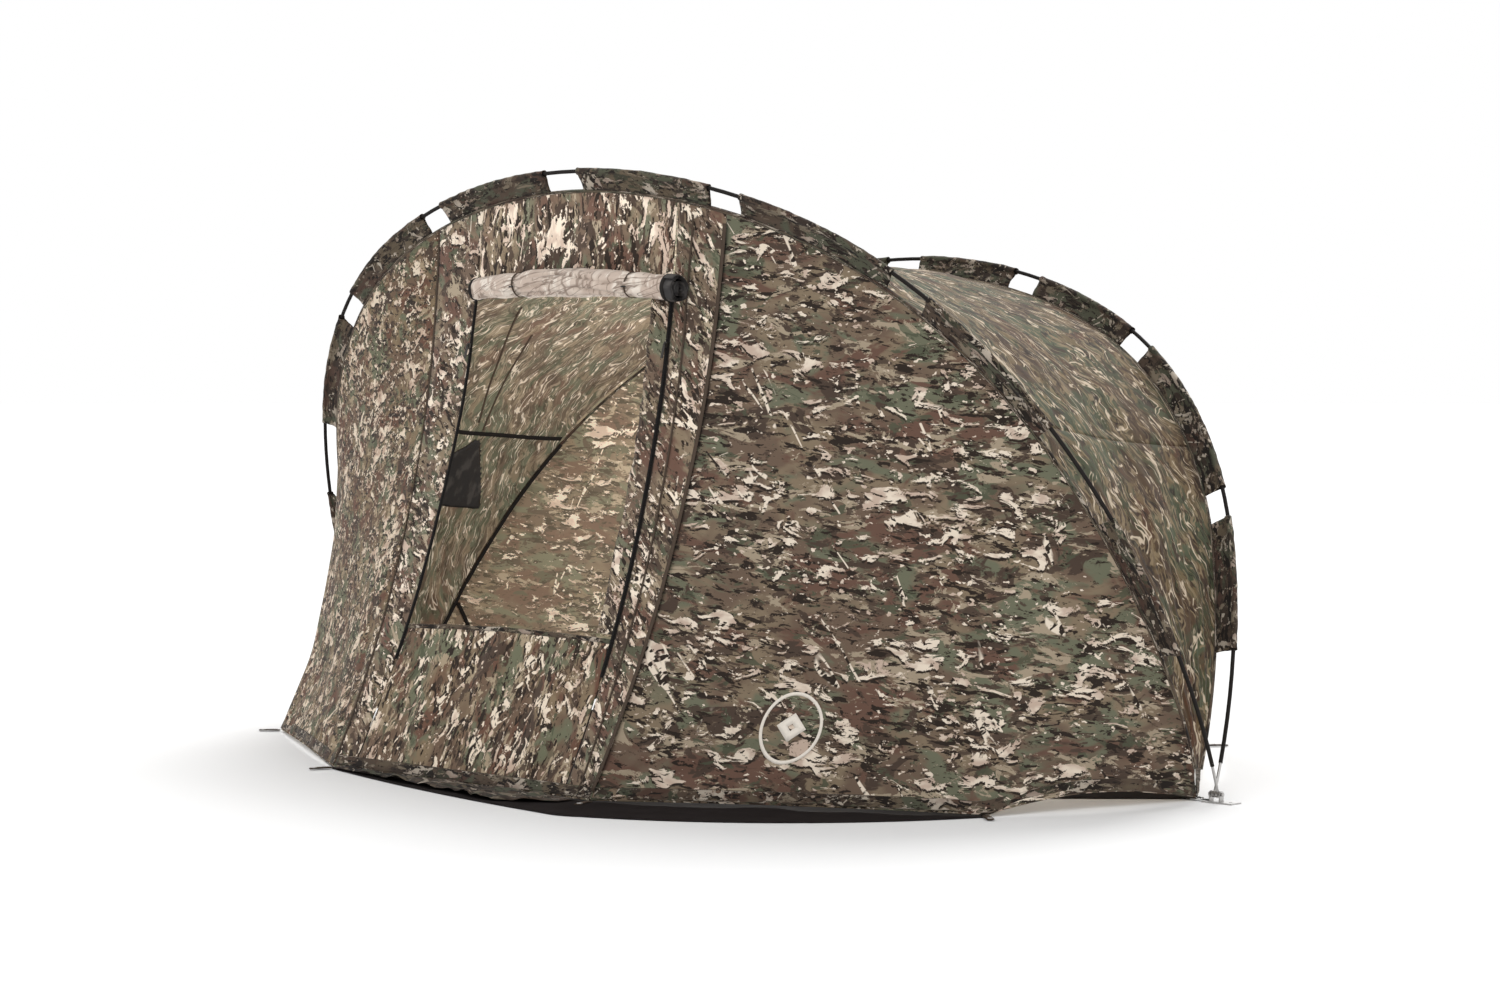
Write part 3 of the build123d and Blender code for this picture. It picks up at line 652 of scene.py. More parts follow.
def stitch_row(line, normal, pitch=0.006, length=0.0042, r=0.00045, lift=0.0003):
    """Vertices and faces of a row of raised stitches along a line."""
    run = distances(line)
    at = np.arange(pitch / 2, run[-1], pitch * COARSE)
    p = np.stack([np.interp(at, run, line[:, k]) for k in range(3)], -1)
    n = np.stack([np.interp(at, run, normal[:, k]) for k in range(3)], -1)
    t = np.stack([np.interp(at, run, np.gradient(line[:, k], run)) for k in range(3)], -1)
    t, n = unit(t), unit(n)
    b = np.cross(t, n)
    shape = [(-0.5, 0, 0), (-0.3, 1, 0.2), (-0.3, -1, 0.2), (-0.25, 0, 1.4), (0.25, 0, 1.4), (0.3, 1, 0.2),
             (0.3, -1, 0.2), (0.5, 0, 0)]
    verts = np.stack([p + t * a * length + b * c * r + n * (lift + h * r) for a, c, h in shape], 1)
    quads = [(0, 3, 1), (0, 2, 3), (1, 3, 4, 5), (2, 6, 4, 3), (4, 7, 5), (4, 6, 7), (0, 1, 2), (7, 6, 5),
             (1, 5, 6, 2)]
    faces = [tuple(8 * i + k for k in q) for i in range(len(at)) for q in quads]
    uvs = np.repeat(np.stack([at, at * 0], -1), 8, axis=0)
    return verts.reshape(-1, 3), faces, uvs


def joined(name, parts, mat):
    """One mesh from several lots of vertices, faces and cloth coordinates."""
    verts, faces, uvs, base = [], [], [], 0
    for v, f, w in parts:
        verts.append(v)
        uvs.append(w)
        faces += [tuple(k + base for k in q) for q in f]
        base += len(v)
    return new_mesh(name, np.concatenate(verts), faces, np.concatenate(uvs), [mat])


def stitches(name, rows, where, mat=None):
    """Several stitch rows as one piece."""
    obj = joined(name, [stitch_row(line, normal) for line, normal in rows], mat or THREAD)
    return settle(obj, where)


def beside(line, out, gaps, lift=0.0):
    """Lines beside a line on the cloth, with their normals."""
    edge = unit(np.cross(np.gradient(line, axis=0), out))
    return [(line + out * lift + edge * gap, out) for gap in gaps]


def surface_line(f, us, vs, crease, lift):
    """A line on a cloth surface with its outward normals, raised by the panel's wrinkles and lift."""
    reach = 0.004
    us, vs = np.broadcast_arrays(np.asarray(us, float), np.asarray(vs, float))
    p = f(us, vs)
    eu, ev = np.clip(us + reach, 0, 1), np.clip(vs + reach, 0, 1)
    fu, fv = np.clip(us - reach, 0, 1), np.clip(vs - reach, 0, 1)
    n = turned_out(unit(np.cross(f(eu, vs) - f(fu, vs), f(us, ev) - f(us, fv))), p)
    return p + n * (lift + crease(us, vs, p))[:, None], n


def mirrored(f):
    return lambda u, v: f(u, v) * MIRROR


def inwards(rib, s):
    """Unit vectors in the rib's plane, from the pole towards the middle."""
    return unit(rib_point(rib, s, 0.01) - rib_point(rib, s))


def ring(name, centre, axis, big, small, mat, where):
    """A round ring of wire."""
    turns, sides = 32, 10
    axis = Vector(axis).normalized()
    e1 = axis.orthogonal().normalized()
    e2 = axis.cross(e1)
    a = np.linspace(0, 2 * pi, turns, endpoint=False)[:, None, None]
    b = np.linspace(0, 2 * pi, sides, endpoint=False)[None, :, None]
    spoke = np.cos(a) * np.array(e1) + np.sin(a) * np.array(e2)
    p = np.array(centre) + spoke * (big + small * np.cos(b)) + np.array(axis) * small * np.sin(b)
    faces = [(i * sides + j, (i + 1) % turns * sides + j, (i + 1) % turns * sides + (j + 1) % sides,
              i * sides + (j + 1) % sides) for i in range(turns) for j in range(sides)]
    return settle(new_mesh(name, p, faces, None, [mat]), where)


# ------------------------------------------------------------------ panels of the shelter
def fade(U, V, edge=0.06):
    """0 at the edges of a panel and 1 away from them."""
    w = np.clip(np.minimum(np.minimum(U, 1 - U), np.minimum(V, 1 - V)) / edge, 0, 1)
    return w * w * (3 - 2 * w)


ACROSS = np.array([0.772, 0.636, 0.0])      # level direction along the front panel


def front_uv(u, v, p):
    q = p if p[..., 0].mean() > 0 else p * MIRROR
    return np.stack([q @ ACROSS, p[..., 2] * 1.06], -1)


def front_crease(seed):
    def f(u, v, p):
        q = np.where(p[..., :1] < 0, p * MIRROR, p)
        h, z = q @ ACROSS, q[..., 2]
        lay = 0.0042 * waves(seed, h, z, 0.62, 9)
        ripple = 0.0013 * waves(seed + 1, h * 0.45, z, 0.13, 14)
        held = sum(pulls(q, (*c, HEM_Z), seed + 5 + k, 0.38, 16, 0.0055)
                   for k, c in enumerate((CORNER, FRONT_CORNER, DOOR_FOOT)))
        scallop = 0.004 * np.sin(h * 55 + 2 * np.sin(h * 9)) * np.exp(-v / 0.06)
        return fade(u, v) * (lay + ripple) + fade(u, v, 0.02) * (held + scallop)
    return f


def door_crease(u, v, p):
    k = np.abs(p[..., 0]) / door_half(v)
    w = np.clip((1 - k) / 0.08, 0, 1) * np.clip(np.minimum(v, 1 - v) / 0.04, 0, 1)
    near_zip = 1 - 0.7 * np.exp(-((np.abs(p[..., 0]) - ZIP_X) / 0.05) ** 2)
    lay = 0.0035 * waves(61, p[..., 0], p[..., 2] * 0.35, 0.20, 12)
    fine = 0.0011 * waves(62, p[..., 0], p[..., 2] * 0.3, 0.055, 12)
    return w * near_zip * (lay + fine)


def baffle_crease(u, v, p):
    """Soft waves across the loose zip baffle."""
    loose = np.clip((1 - u) / 0.6, 0, 1)
    return door_crease(u, v, p) - 0.006 * loose * np.abs(np.sin(v * 34 + 3 * np.sin(v * 9)))


def door_uv(u, v, p):
    return np.stack([p[..., 0], v * 1.74], -1)


for side, turn, mat, seed in (("right", 1, CAMO_RIGHT, 3), ("left", -1, CAMO_LEFT, 13)):
    surface = front_panel if turn > 0 else mirrored(front_panel)
    panel(f"front_panel_{side}", surface, steps(0, 1, PITCH), steps(0, 1, PITCH), front_uv, [mat, INSIDE],
          FRONT_FAN, [f"front_panel_{side}"], front_crease(seed))


def door_piece(name, edges, vs, mats, lift=0.0, crease=door_crease):
    """Door-wall cloth between two upright edges given as functions of v."""
    def f(U, V):
        a, b = edges[0](V), edges[1](V)
        return door_at(a + (b - a) * U, V)
    wide = abs(edges[1](0.5) - edges[0](0.5))
    us = np.linspace(0, 1, max(4, int(wide / 0.012 / COARSE) + 1))
    panel(name, f, us, vs, door_uv, mats, FRONT_FAN, [name], crease, lift)


def beside_zip(side, gap):
    """Edge of the door-wall cloth at a distance from a zip, outwards of the door if positive."""
    if side == "right":
        return lambda v: ZIP_X + gap + 0 * v
    return lambda v: -(LEFT_ZIP[0] - LEFT_ZIP[1] * v) - gap


def door_seam(side, gap):
    turn = 1 if side == "right" else -1
    return lambda v: turn * (door_half(v) + gap)


for side in ("right", "left"):
    door_piece(f"door_strip_{side}", (beside_zip(side, 0.003), door_seam(side, -0.001)), steps(0, 1, PITCH),
               [CAMO_STRIP, INSIDE])
door_piece("storm_flap", (beside_zip("right", 0.058), door_seam("right", 0.004)), steps(0.02, 0.965, PITCH),
           [CAMO_STRIP, CAMO_STRIP], lift=0.0052)
DOOR_EDGES = beside_zip("left", -0.003), beside_zip("right", -0.003)
door_piece("door_header", DOOR_EDGES, steps(LINTEL_V, 1, PITCH), [CAMO_HEAD, INSIDE])
door_piece("door_sill", DOOR_EDGES, steps(0, SILL_V, PITCH), [CAMO_UP, INSIDE])
door_piece("zip_baffle", (beside_zip("right", -0.078), beside_zip("right", -0.004)),
           steps(SILL_V + 0.01, LINTEL_V, PITCH), [CAMO_STRIP, CAMO_STRIP], lift=-0.005, crease=baffle_crease)


def roof_size(u):
    """Distance between the two seams of the roof."""
    p, q = [rib_point(rib, held_at(rib, u), SEAM_INSET) for rib in (FRONT, REAR)]
    return np.linalg.norm(p - q, axis=-1)


# Lengths that the print and the wrinkles are scaled to
ROOF_RUN, ROOF_WIDE, REAR_RUN = 5.35, 1.45, 4.6


def roof_uv(u, v, p):
    return np.stack([(u - 0.5) * ROOF_RUN, (v - 0.5) * roof_size(u) * 1.03], -1)


def roof_crease(u, v, p):
    a, b = (u - 0.5) * ROOF_RUN, (v - 0.5) * ROOF_WIDE
    end = np.minimum(u, 1 - u)
    held = np.clip(np.minimum(v, 1 - v) / 0.05, 0, 1) * (1 - 0.75 * np.exp(-((end - BAR_U) / 0.006) ** 2))
    lay = 0.0038 * waves(71, a, b, 0.55, 10)
    run = 0.0014 * waves(72, a * 0.35, b, 0.11, 14)
    dimple = -0.0035 * np.exp(-((end - BAR_U) / 0.004) ** 2)
    return np.clip(end / 0.03, 0, 1) * held * (lay + run) + dimple


def wall_uv(u, v, p):
    return np.stack([u * REAR_RUN, p[..., 2] * 1.05], -1)


def rear_crease(u, v, p):
    lay = 0.0042 * waves(81, u * REAR_RUN, p[..., 2], 0.6, 10)
    run = 0.0013 * waves(82, u * 2.2, p[..., 2], 0.13, 14)
    held = sum(pulls(np.abs(p), (*c, HEM_Z), 83 + k, 0.4, 16, 0.005)
               for k, c in enumerate((REAR_CORNER, CORNER)))
    return fade(u, v, 0.04) * (lay + run) + fade(u, v, 0.02) * held


ROOF_CLOTH = [CAMO_ROOF, INSIDE_ROOF]
for name, us in (("roof_panel", steps(BAR_U, 1 - BAR_U, 0.0028)),
                 ("side_panel_right", steps(0, BAR_U, 0.0028))):
    panel(name, roof, us, steps(0, 1, 0.010), roof_uv, ROOF_CLOTH, ROOF_FAN, [name], roof_crease)


def gusset(u, corner):
    """Small triangle that closes the cloth from the end of the roof to the hub strap."""
    return lambda U, V: mix(roof(np.full(U.shape, u), V), np.broadcast_to(corner, (*U.shape, 3)), U)


for side, u, turn in (("right", 0.0, 1), ("left", 1.0, -1)):
    panel(f"hub_gusset_{side}", gusset(u, [turn * CORNER[0], CORNER[1], HEM_Z]), np.linspace(0, 0.94, 12),
          np.linspace(0, 1, 12), wall_uv, [CAMO_SLEEVE], ROOF_FAN)

VENT_U, VENT_V, VENT_TIP_V = (0.138, 0.190), (0.30, 0.775), 0.60


def in_vent(U, V, margin=0.0):
    """Where the side vent is open, or open with a margin round it."""
    h = (1 - U - VENT_U[0]) / (VENT_U[1] - VENT_U[0])
    low, high = [v + (VENT_TIP_V - v) * h for v in VENT_V]
    return (h > -3 * margin) & (h < 1 + 2 * margin) & (V > low - margin) & (V < high + margin)


panel("side_panel_left", roof, np.linspace(1 - BAR_U, 1, int(240 / COARSE)), steps(0, 1, 0.005), roof_uv,
      ROOF_CLOTH, ROOF_FAN, ["side_panel_left"], roof_crease, cut=in_vent)
panel("vent_mesh", roof, steps(1 - VENT_U[1] - 0.003, 1 - VENT_U[0] + 0.003, 0.002),
      steps(VENT_V[0] - 0.02, VENT_V[1] + 0.02, 0.012), roof_uv, [MESH], ROOF_FAN, ["vent_mesh"], roof_crease,
      lift=-0.0032, thick=0.0006,
      cut=lambda U, V: ~in_vent(U, V, 0.024))

REAR_SPANS = {"rear_corner_right": (0.002, CORNER_U), "rear_wall": (CORNER_U, 1 - CORNER_U),
              "rear_corner_left": (1 - CORNER_U, 0.998)}
for name, span in REAR_SPANS.items():
    panel(name, rear_wall, steps(*span, 0.0030), steps(0, 1, PITCH), wall_uv, [CAMO_REAR, INSIDE], REAR_FAN,
          [name], rear_crease)


# ------------------------------------------------------------------ hems and seams
def hem_line(f, us, rise, crease, lift):
    """A line on the wall f at a fixed height above its lower edge."""
    tall = np.linalg.norm(f(us, np.ones(us.shape)) - f(us, np.zeros(us.shape)), axis=-1)
    return surface_line(f, us, np.clip(rise / tall, 0, 0.5), crease, lift)


def door_wall(u, v):
    return door_at((2 * u - 1) * door_half(v), v)


def door_line(x_at, vs, lift):
    """An upright line on the door wall, with its x as a function of v."""
    return surface_line(lambda a, b: door_at(x_at(b) + (a - 0.5) * 0.1, b), 0.5, vs, door_crease, lift)


HEM_MID, HEM_TAPE = 0.0160, 0.029
HEM_STITCHES = (0.008, 0.030)
SIDE_US = 0.004 + 0.994 * np.linspace(0, 1, 90)
for name, f, crease, us in (("right", front_panel, front_crease(3), SIDE_US),
                            ("left", mirrored(front_panel), front_crease(13), SIDE_US),
                            ("middle", door_wall, door_crease, 0.005 + 0.99 * np.linspace(0, 1, 90))):
    ribbon(f"front_hem_tape_{name}", *hem_line(f, us, HEM_MID, crease, -0.0042), HEM_TAPE, 0.0012, BINDING,
           FRONT_FAN, ["front_hem_tape"])
    ribbon(f"front_hem_band_{name}", *hem_line(f, us, HEM_MID + 0.001, crease, 0.0003), 0.032, 0.0010,
           CAMO_SLEEVE, FRONT_FAN, slot="camo")
    rows = [hem_line(f, us, rise, crease, 0.0012) for rise in HEM_STITCHES]
    stitches(f"front_hem_stitches_{name}", rows, FRONT_FAN)
us = 0.004 + 0.992 * np.linspace(0, 1, 240)
ribbon("rear_hem_tape", *hem_line(rear_wall, us, HEM_MID, rear_crease, -0.0042), HEM_TAPE, 0.0012, BINDING,
       REAR_FAN, ["rear_hem_tape"])
stitches("rear_hem_stitches", [hem_line(rear_wall, us, rise, rear_crease, 0.0) for rise in HEM_STITCHES],
         REAR_FAN)

vs = np.linspace(0.012, 0.985, 120)
for name, x_at, width, lift in (("door_seam_right", door_seam("right", 0.0), 0.012, 0.0062),
                                ("door_seam_left", door_seam("left", 0.0), 0.008, 0.0006),
                                ("storm_flap_binding", beside_zip("right", 0.060), 0.006, 0.0062)):
    line, out = door_line(x_at, vs, lift)
    ribbon(name, line, out, width, 0.0014, CAMO_WEB, FRONT_FAN)
    stitches(f"{name}_stitches", beside(line, out, (-0.3 * width, 0.3 * width), 0.0014), FRONT_FAN)

# Bound edges of the doorway
for name, v in (("lintel_binding", LINTEL_V + 0.002), ("sill_binding", SILL_V - 0.003)):
    ends = [edge(v) for edge in DOOR_EDGES]
    us = np.linspace(0.002, 0.998, 110)
    line, out = surface_line(lambda a, b: door_at(ends[0] + a * (ends[1] - ends[0]), b), us, v, door_crease,
                             -0.0016)
    ribbon(name, line, out, 0.013, 0.0036, CAMO_SLEEVE, FRONT_FAN)

# Stitched lines inside the roof, where its widths of cloth join
for side in (1, -1):
    for k, ((ua, ub), (va, vb)) in enumerate((((0.675, 0.793), (0.407, 0.561)),
                                              ((0.702, 0.800), (0.519, 0.602)))):
        us = np.linspace(ua, ub, 60)
        us = us if side > 0 else 1 - us
        line, out = surface_line(roof, us, np.linspace(va, vb, 60), roof_crease, -0.0022)
        ribbon(f"roof_inner_seam_{'left' if side > 0 else 'right'}_{k + 1}", line, out, 0.007, 0.0012,
               CAMO_WEB, ROOF_FAN)

for side, u in (("right", BAR_U), ("left", 1 - BAR_U)):
    vs = np.linspace(0.02, 0.98, 90)
    line, out = surface_line(roof, u, vs, roof_crease, -0.0034)
    ribbon(f"side_seam_tape_{side}", line, out, 0.016, 0.0014, WEBBING, ROOF_FAN, ["side_seam_tapes"])
    line, out = surface_line(roof, u, vs, roof_crease, 0.0)
    stitches(f"side_seam_stitches_{side}", beside(line, out, (-0.005, 0.005)), ROOF_FAN)

for side, u in (("right", 0.067), ("left", 0.933)):
    vs = np.linspace(0.03, 0.97, 90)
    line, out = surface_line(rear_wall, u, vs, rear_crease, -0.0038)
    ribbon(f"rear_seam_tape_{side}", line, out, 0.013, 0.0013, WEBBING, REAR_FAN, ["rear_seam_tapes"])
# Binding inside, over the join of the roof and the rear wall
at = held_at(REAR, np.linspace(BAR_U + 0.006, 0.994 - BAR_U, 200))
ribbon("rear_inner_binding", rib_point(REAR, at, SEAM_INSET + 0.0030), inwards(REAR, at), 0.030, 0.0014,
       INSIDE, REAR_FAN)

for side, u in (("right", CORNER_U), ("left", 1 - CORNER_U)):
    vs = np.linspace(0.005, 0.985, 90)
    line, out = surface_line(rear_wall, u, vs, rear_crease, 0.0003)
    ribbon(f"rear_corner_seam_{side}", line, out, 0.012, 0.0012, CAMO_WEB, REAR_FAN)
    stitches(f"rear_corner_stitches_{side}", [(line + out * 0.0012, out)], REAR_FAN)


def vent_binding():
    """Bound edge of the triangular side vent."""
    foot, tip = 1 - VENT_U[0], 1 - VENT_U[1]
    corners = [(foot, VENT_V[0]), (tip, VENT_TIP_V), (foot, VENT_V[1]), (foot, VENT_V[0])]
    for k, (a, b) in enumerate(zip(corners, corners[1:])):
        t = np.linspace(0, 1, 40)
        for face, lift in (("outer", 0.0004), ("inner", -0.0026)):
            line, out = surface_line(roof, a[0] + (b[0] - a[0]) * t, a[1] + (b[1] - a[1]) * t, roof_crease,
                                     lift)
            ribbon(f"vent_binding_{face}_{k + 1}", line, out, 0.021, 0.0012, BINDING, ROOF_FAN)


vent_binding()

# ------------------------------------------------------------------ pole sleeves and rib seams
SLEEVE_R = 0.0088
STRETCHES = {"front": (FRONT, [(0.070, 0.565), (0.674, 1.190), (1.315, 1.777), (2.060, 2.457)]),
             "rear": (REAR, [(0.070, 0.477), (0.589, 1.026), (1.132, 1.708), (1.808, 2.212)])}
WEB_STEPS = (0.019, 0.028, 0.037, 0.047, 0.057)


def sleeve(name, rib, s0, s1, seed):
    """A strip of cloth folded round the pole, with its two edges sewn together down to the seam."""
    s = np.linspace(s0, s1, max(12, int((s1 - s0) / 0.009 / COARSE)))
    web = [(i, 0.0030 if i < 0.02 else 0.0011) for i in WEB_STEPS]
    round_pole = [(-SLEEVE_R * cos(a), SLEEVE_R * sin(a)) for a in np.linspace(2.72, -2.72, 25)]
    section = [(i, o, 0) for i, o in reversed(web)] + [(i, o, 1) for i, o in round_pole]
    section += [(i, -o, 0) for i, o in web]
    verts, uvs, run = [], [], 0.0
    ends = np.exp(-np.minimum(s - s0, s1 - s) / 0.006)
    for k, (inset, off, tube) in enumerate(section):
        if k:
            run += np.hypot(inset - section[k - 1][0], off - section[k - 1][1])
        if tube:
            swell = waves(seed, s, np.full(s.shape, 3 * off), 0.05, 10)
            scale = np.maximum(1 + 0.06 * swell + 0.14 * ends, 0.93)
            verts.append(rib_point(rib, s, inset * scale, off * scale))
        else:
            wave = 0.0026 * waves(seed + 20, s, np.full(s.shape, inset), 0.11, 10)
            wave = wave * np.clip((inset - 0.015) / 0.02, 0, 1) * np.clip((0.058 - inset) / 0.014, 0, 1)
            verts.append(rib_point(rib, s, inset, off + wave))
        uvs.append(np.stack([s, np.full(s.shape, run)], -1))
    obj = new_mesh(name, np.stack(verts), grid_faces(len(section), len(s)), np.stack(uvs), [CAMO_SLEEVE])
    solidify(obj, 0.0007)
    return obj


for rib_name, (rib, stretches) in STRETCHES.items():
    half = rib["length"] / 2
    spans = sorted([(half - b, half - a) for a, b in stretches]
                   + [(half + a, half + b) for a, b in stretches])
    out = np.array([0, -sin(rib["tilt"]), cos(rib["tilt"])])
    for k, (s0, s1) in enumerate(spans):
        obj = sleeve(f"{rib_name}_sleeve_{k + 1}", rib, s0, s1, 100 + 7 * k)
        settle(obj, f"{rib_name}_rib", [f"{rib_name}_sleeves"])
        s = np.linspace(s0 + 0.004, s1 - 0.004, 80)
        rows = [(rib_point(rib, s, 0.0225, sign * 0.0030), np.tile(out * sign, (len(s), 1)))
                for sign in (-1, 1)]
        stitches(f"{rib_name}_sleeve_stitches_{k + 1}", rows, f"{rib_name}_rib")
    s = np.linspace(STARTS, rib["length"] - STARTS, 420)
    ribbon(f"{rib_name}_rib_seam", rib_point(rib, s, SEAM_INSET + 0.004), -inwards(rib, s), 0.0115, 0.0085,
           CAMO_SLEEVE, f"{rib_name}_rib", slot="camo", lift=-0.002)

# Dark tape inside the rear rib seam, up to the side seam
for side in ("right", "left"):
    s = held_at(REAR, np.linspace(0.02, BAR_U, 120))
    s = s if side == "right" else REAR["length"] - s
    ribbon(f"rear_rib_tape_{side}", rib_point(REAR, s, SEAM_INSET + 0.004), inwards(REAR, s), 0.013, 0.0016,
           WEBBING, "rear_rib", lift=0.004)

# ------------------------------------------------------------------ zips
ZIP_VS = np.linspace(0.185, 0.862, 260)
for side in ("right", "left"):
    line, out = door_line(beside_zip(side, 0.0), ZIP_VS, 0.0012)
    ribbon(f"zip_tape_{side}", line, out, 0.015, 0.0010, WEBBING, FRONT_FAN, [f"zip_track_{side}"],
           slot="zip")
    coils = [stitch_row(row, away, 0.0032, 0.0024, 0.0022, 0.0)
             for row, away in beside(line, out, (-0.0016, 0.0016), 0.0022)]
    settle(joined(f"zip_coil_{side}", coils, BLACK_ZIP), FRONT_FAN)
    stitches(f"zip_stitches_{side}", beside(line, out, (-0.006, 0.006), 0.001), FRONT_FAN, WEBBING)

# ------------------------------------------------------------------ rolled door
_, roll_y, roll_z = door_at(0.0, ROLL_V, ROLL_OUT)
OUTWARD = (door_at(0.0, ROLL_V, 0.05) - door_at(0.0, ROLL_V, 0.0)) / 0.05
WALL_POINT = door_at(0.0, ROLL_V, 0.016)

# Set folds in the roll: angle, turn per metre, place, length and depth
FOLDS = ((2.75, 1.1, 0.17, 0.13, 0.0052), (3.35, -1.3, -0.02, 0.10, 0.0046), (3.75, 0.8, 0.22, 0.12, 0.0050),
         (2.45, -0.9, 0.00, 0.14, 0.0036), (3.10, 1.8, 0.41, 0.06, 0.0040), (3.55, 1.2, -0.21, 0.06, 0.0042),
         (4.05, -0.5, -0.06, 0.12, 0.0048), (2.95, -1.6, 0.29, 0.05, 0.0040))


def bow(x):
    """The roll arches up between its ends."""
    return 0.016 * (1 - ((x - 0.09) / 0.40) ** 2) - 0.004 - 0.010 * np.clip(x / 0.5, -0.5, 1)


def girth(x):
    """The roll is thinner towards its ends."""
    return 1 - 0.25 * np.clip((0.03 - x) / 0.33, 0, 1) ** 1.4 - 0.13 * np.clip((x - 0.20) / 0.28, 0, 1)


def rolled(name, x0, x1, r0, r1, turns, mats, nodes, seed, thick, slot, end=4.2, waist=0.0, lumps=0.0016,
           folds=0.0):
    """Cloth wound in a spiral about the roll's axis, pinched by the two ties."""
    xs = steps(x0, x1, 0.006)
    ts = np.linspace(0, 1, int(turns * 60 / COARSE))
    X, S = np.meshgrid(xs, ts, indexing="ij")
    angle = end - 2 * pi * turns * (1 - S)
    r = (r0 + (r1 - r0) * S) * girth(X)
    share = r / r1
    pinch = sum(np.exp(-((X - t) / 0.020) ** 2) for t in TIES)
    reach = sum(np.exp(-np.abs(X - t) / 0.055) for t in TIES)
    pleats = 0.0026 * np.sin(9 * angle + 30 * X + 2 * np.sin(19 * X)) * reach * (waist > 0)
    soft = lumps * waves(seed, X, 0.045 * np.cos(angle), 0.15, 12) + 0.5 * lumps * waves(
        seed + 1, X * 0.8, 0.06 * np.sin(angle), 0.05, 12)
    for at, slope, place, length, depth in FOLDS:
        away = (angle - at - slope * 3 * (X - place) + pi) % (2 * pi) - pi
        soft = soft - folds * 2.2 * depth * np.exp(-(away / 0.13) ** 2 - ((X - place) / length) ** 2)
    r = r * (1 - waist * pinch) + share * (pleats + soft)
    y = roll_y + r * np.cos(angle) * 0.97
    z = roll_z + r * np.sin(angle) + bow(X)
    verts = np.stack([X, y, z], -1)
    length = np.concatenate([[0], np.cumsum(np.hypot(np.diff(y[0]), np.diff(z[0])))])
    uvs = np.stack([X, np.broadcast_to(length, X.shape)], -1)
    obj = new_mesh(name, verts, grid_faces(*X.shape, flip=True), uvs, mats)
    solidify(obj, thick)
    settle(obj, "rolled_door", nodes)
    flatten(obj)


def flatten(obj):
    """Gives the piece its own copy of its mesh."""
    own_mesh(obj)


rolled("door_roll", *ROLL_X, 0.0285, 0.0415, 4, [LINING], ["door_roll"], 201, 0.0011, "lining", waist=0.13,
       folds=1.0)
rolled("mesh_roll", ROLL_X[0] - 0.010, MESH_END, 0.006, 0.0255, 5, [MESH], ["mesh_roll"], 211, 0.0007, "mesh",
       waist=0.04, lumps=0.0006)
rolled("mesh_cuff", ROLL_X[1] + 0.003, MESH_END - 0.003, 0.0290, 0.0425, 3, [MESH], [], 221, 0.0009, "mesh",
       lumps=0.0026, end=2.4)
rolled("cuff_band", ROLL_X[1] - 0.003, ROLL_X[1] + 0.010, 0.0428, 0.0443, 1.15, [WEBBING], [], 231, 0.0012,
       "webbing", lumps=0.0003)
rolled("roll_end_band", ROLL_X[0] - 0.009, ROLL_X[0] + 0.002, 0.0425, 0.0440, 1.15, [WEBBING], [], 241,
       0.0012, "webbing", lumps=0.0003)

for k, x in enumerate(TIES):
    a = np.linspace(-0.4, 2 * pi - 0.15, 72)
    spoke = np.stack([0 * a, np.cos(a), np.sin(a)], -1)
    tie_r = 0.0405 * girth(np.array(x)) * (1 - 0.10)
    line = np.array([x, roll_y, roll_z + bow(x)]) + spoke * (tie_r + 0.0008 * a / 6)[:, None]
    line[:, 0] += 0.0025 * np.sin(2 * a + 3 * k)
    tie = ribbon(f"roll_tie_{k + 1}", line, spoke, 0.0065, 0.0016, CAMO_WEB, "door_top", ["roll_ties"])
    flatten(tie)
    profile = [(0, 0.0), (0.0, 0.0014), (0.002, 0.0021), (0.006, 0.0021), (0.008, 0.0014), (0.0105, 0.0014),
               (0.012, 0.0021), (0.016, 0.0021), (0.018, 0.0014), (0.018, 0.0)]
    turn = np.linspace(0, 2 * pi, 20, endpoint=False)
    verts = [(x - 0.009 + s, roll_y - tie_r - 0.0042 + r * cos(t), roll_z + bow(x) - 0.006 + r * sin(t))
             for s, r in profile for t in turn]
    toggle = new_mesh(f"tie_toggle_{k + 1}", verts, [
        (i * 20 + j, i * 20 + (j + 1) % 20, (i + 1) * 20 + (j + 1) % 20, (i + 1) * 20 + j)
        for i in range(len(profile) - 1) for j in range(20)], None, [BLACK_ZIP])
    settle(toggle, "door_top", ["tie_toggles"])


def door_curtain():
    """The first hand's width of the door, from the lintel down behind its roll."""
    x0, x1 = DOOR_EDGES[0](LINTEL_V) + 0.005, DOOR_EDGES[1](LINTEL_V) - 0.005
    xs, ts = steps(x0, x1, 0.012), np.linspace(0, 1, 60)
    X, S = np.meshgrid(xs, ts, indexing="ij")
    top = door_at(X, np.full(X.shape, LINTEL_V + 0.004), -0.004)
    low = np.stack([X, roll_y - OUTWARD[1] * 0.036 + 0 * X, roll_z - OUTWARD[2] * 0.036 + bow(X)], -1)
    p = mix(top, low, S)
    p = p - OUTWARD * (0.0036 * np.sin(pi * S))[..., None]
    obj = new_mesh("door_curtain", p, grid_faces(*X.shape, flip=False), np.stack([X, S * 0.95], -1),
                   [LINING, CAMO_UP])
    solidify(obj, 0.0009, -1.0, 1)
    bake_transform(obj)


door_curtain()


# ------------------------------------------------------------------ ground
APRON = 0.265
LIP = np.array(((-0.543, -1.161), (0.060, -1.304), (0.612, -1.382), (0.670, -1.384)))
FLANK = np.array(((1.435, -0.630), (1.310, -0.270), (1.600, 0.0), (0.880, 1.030)))     # right edge


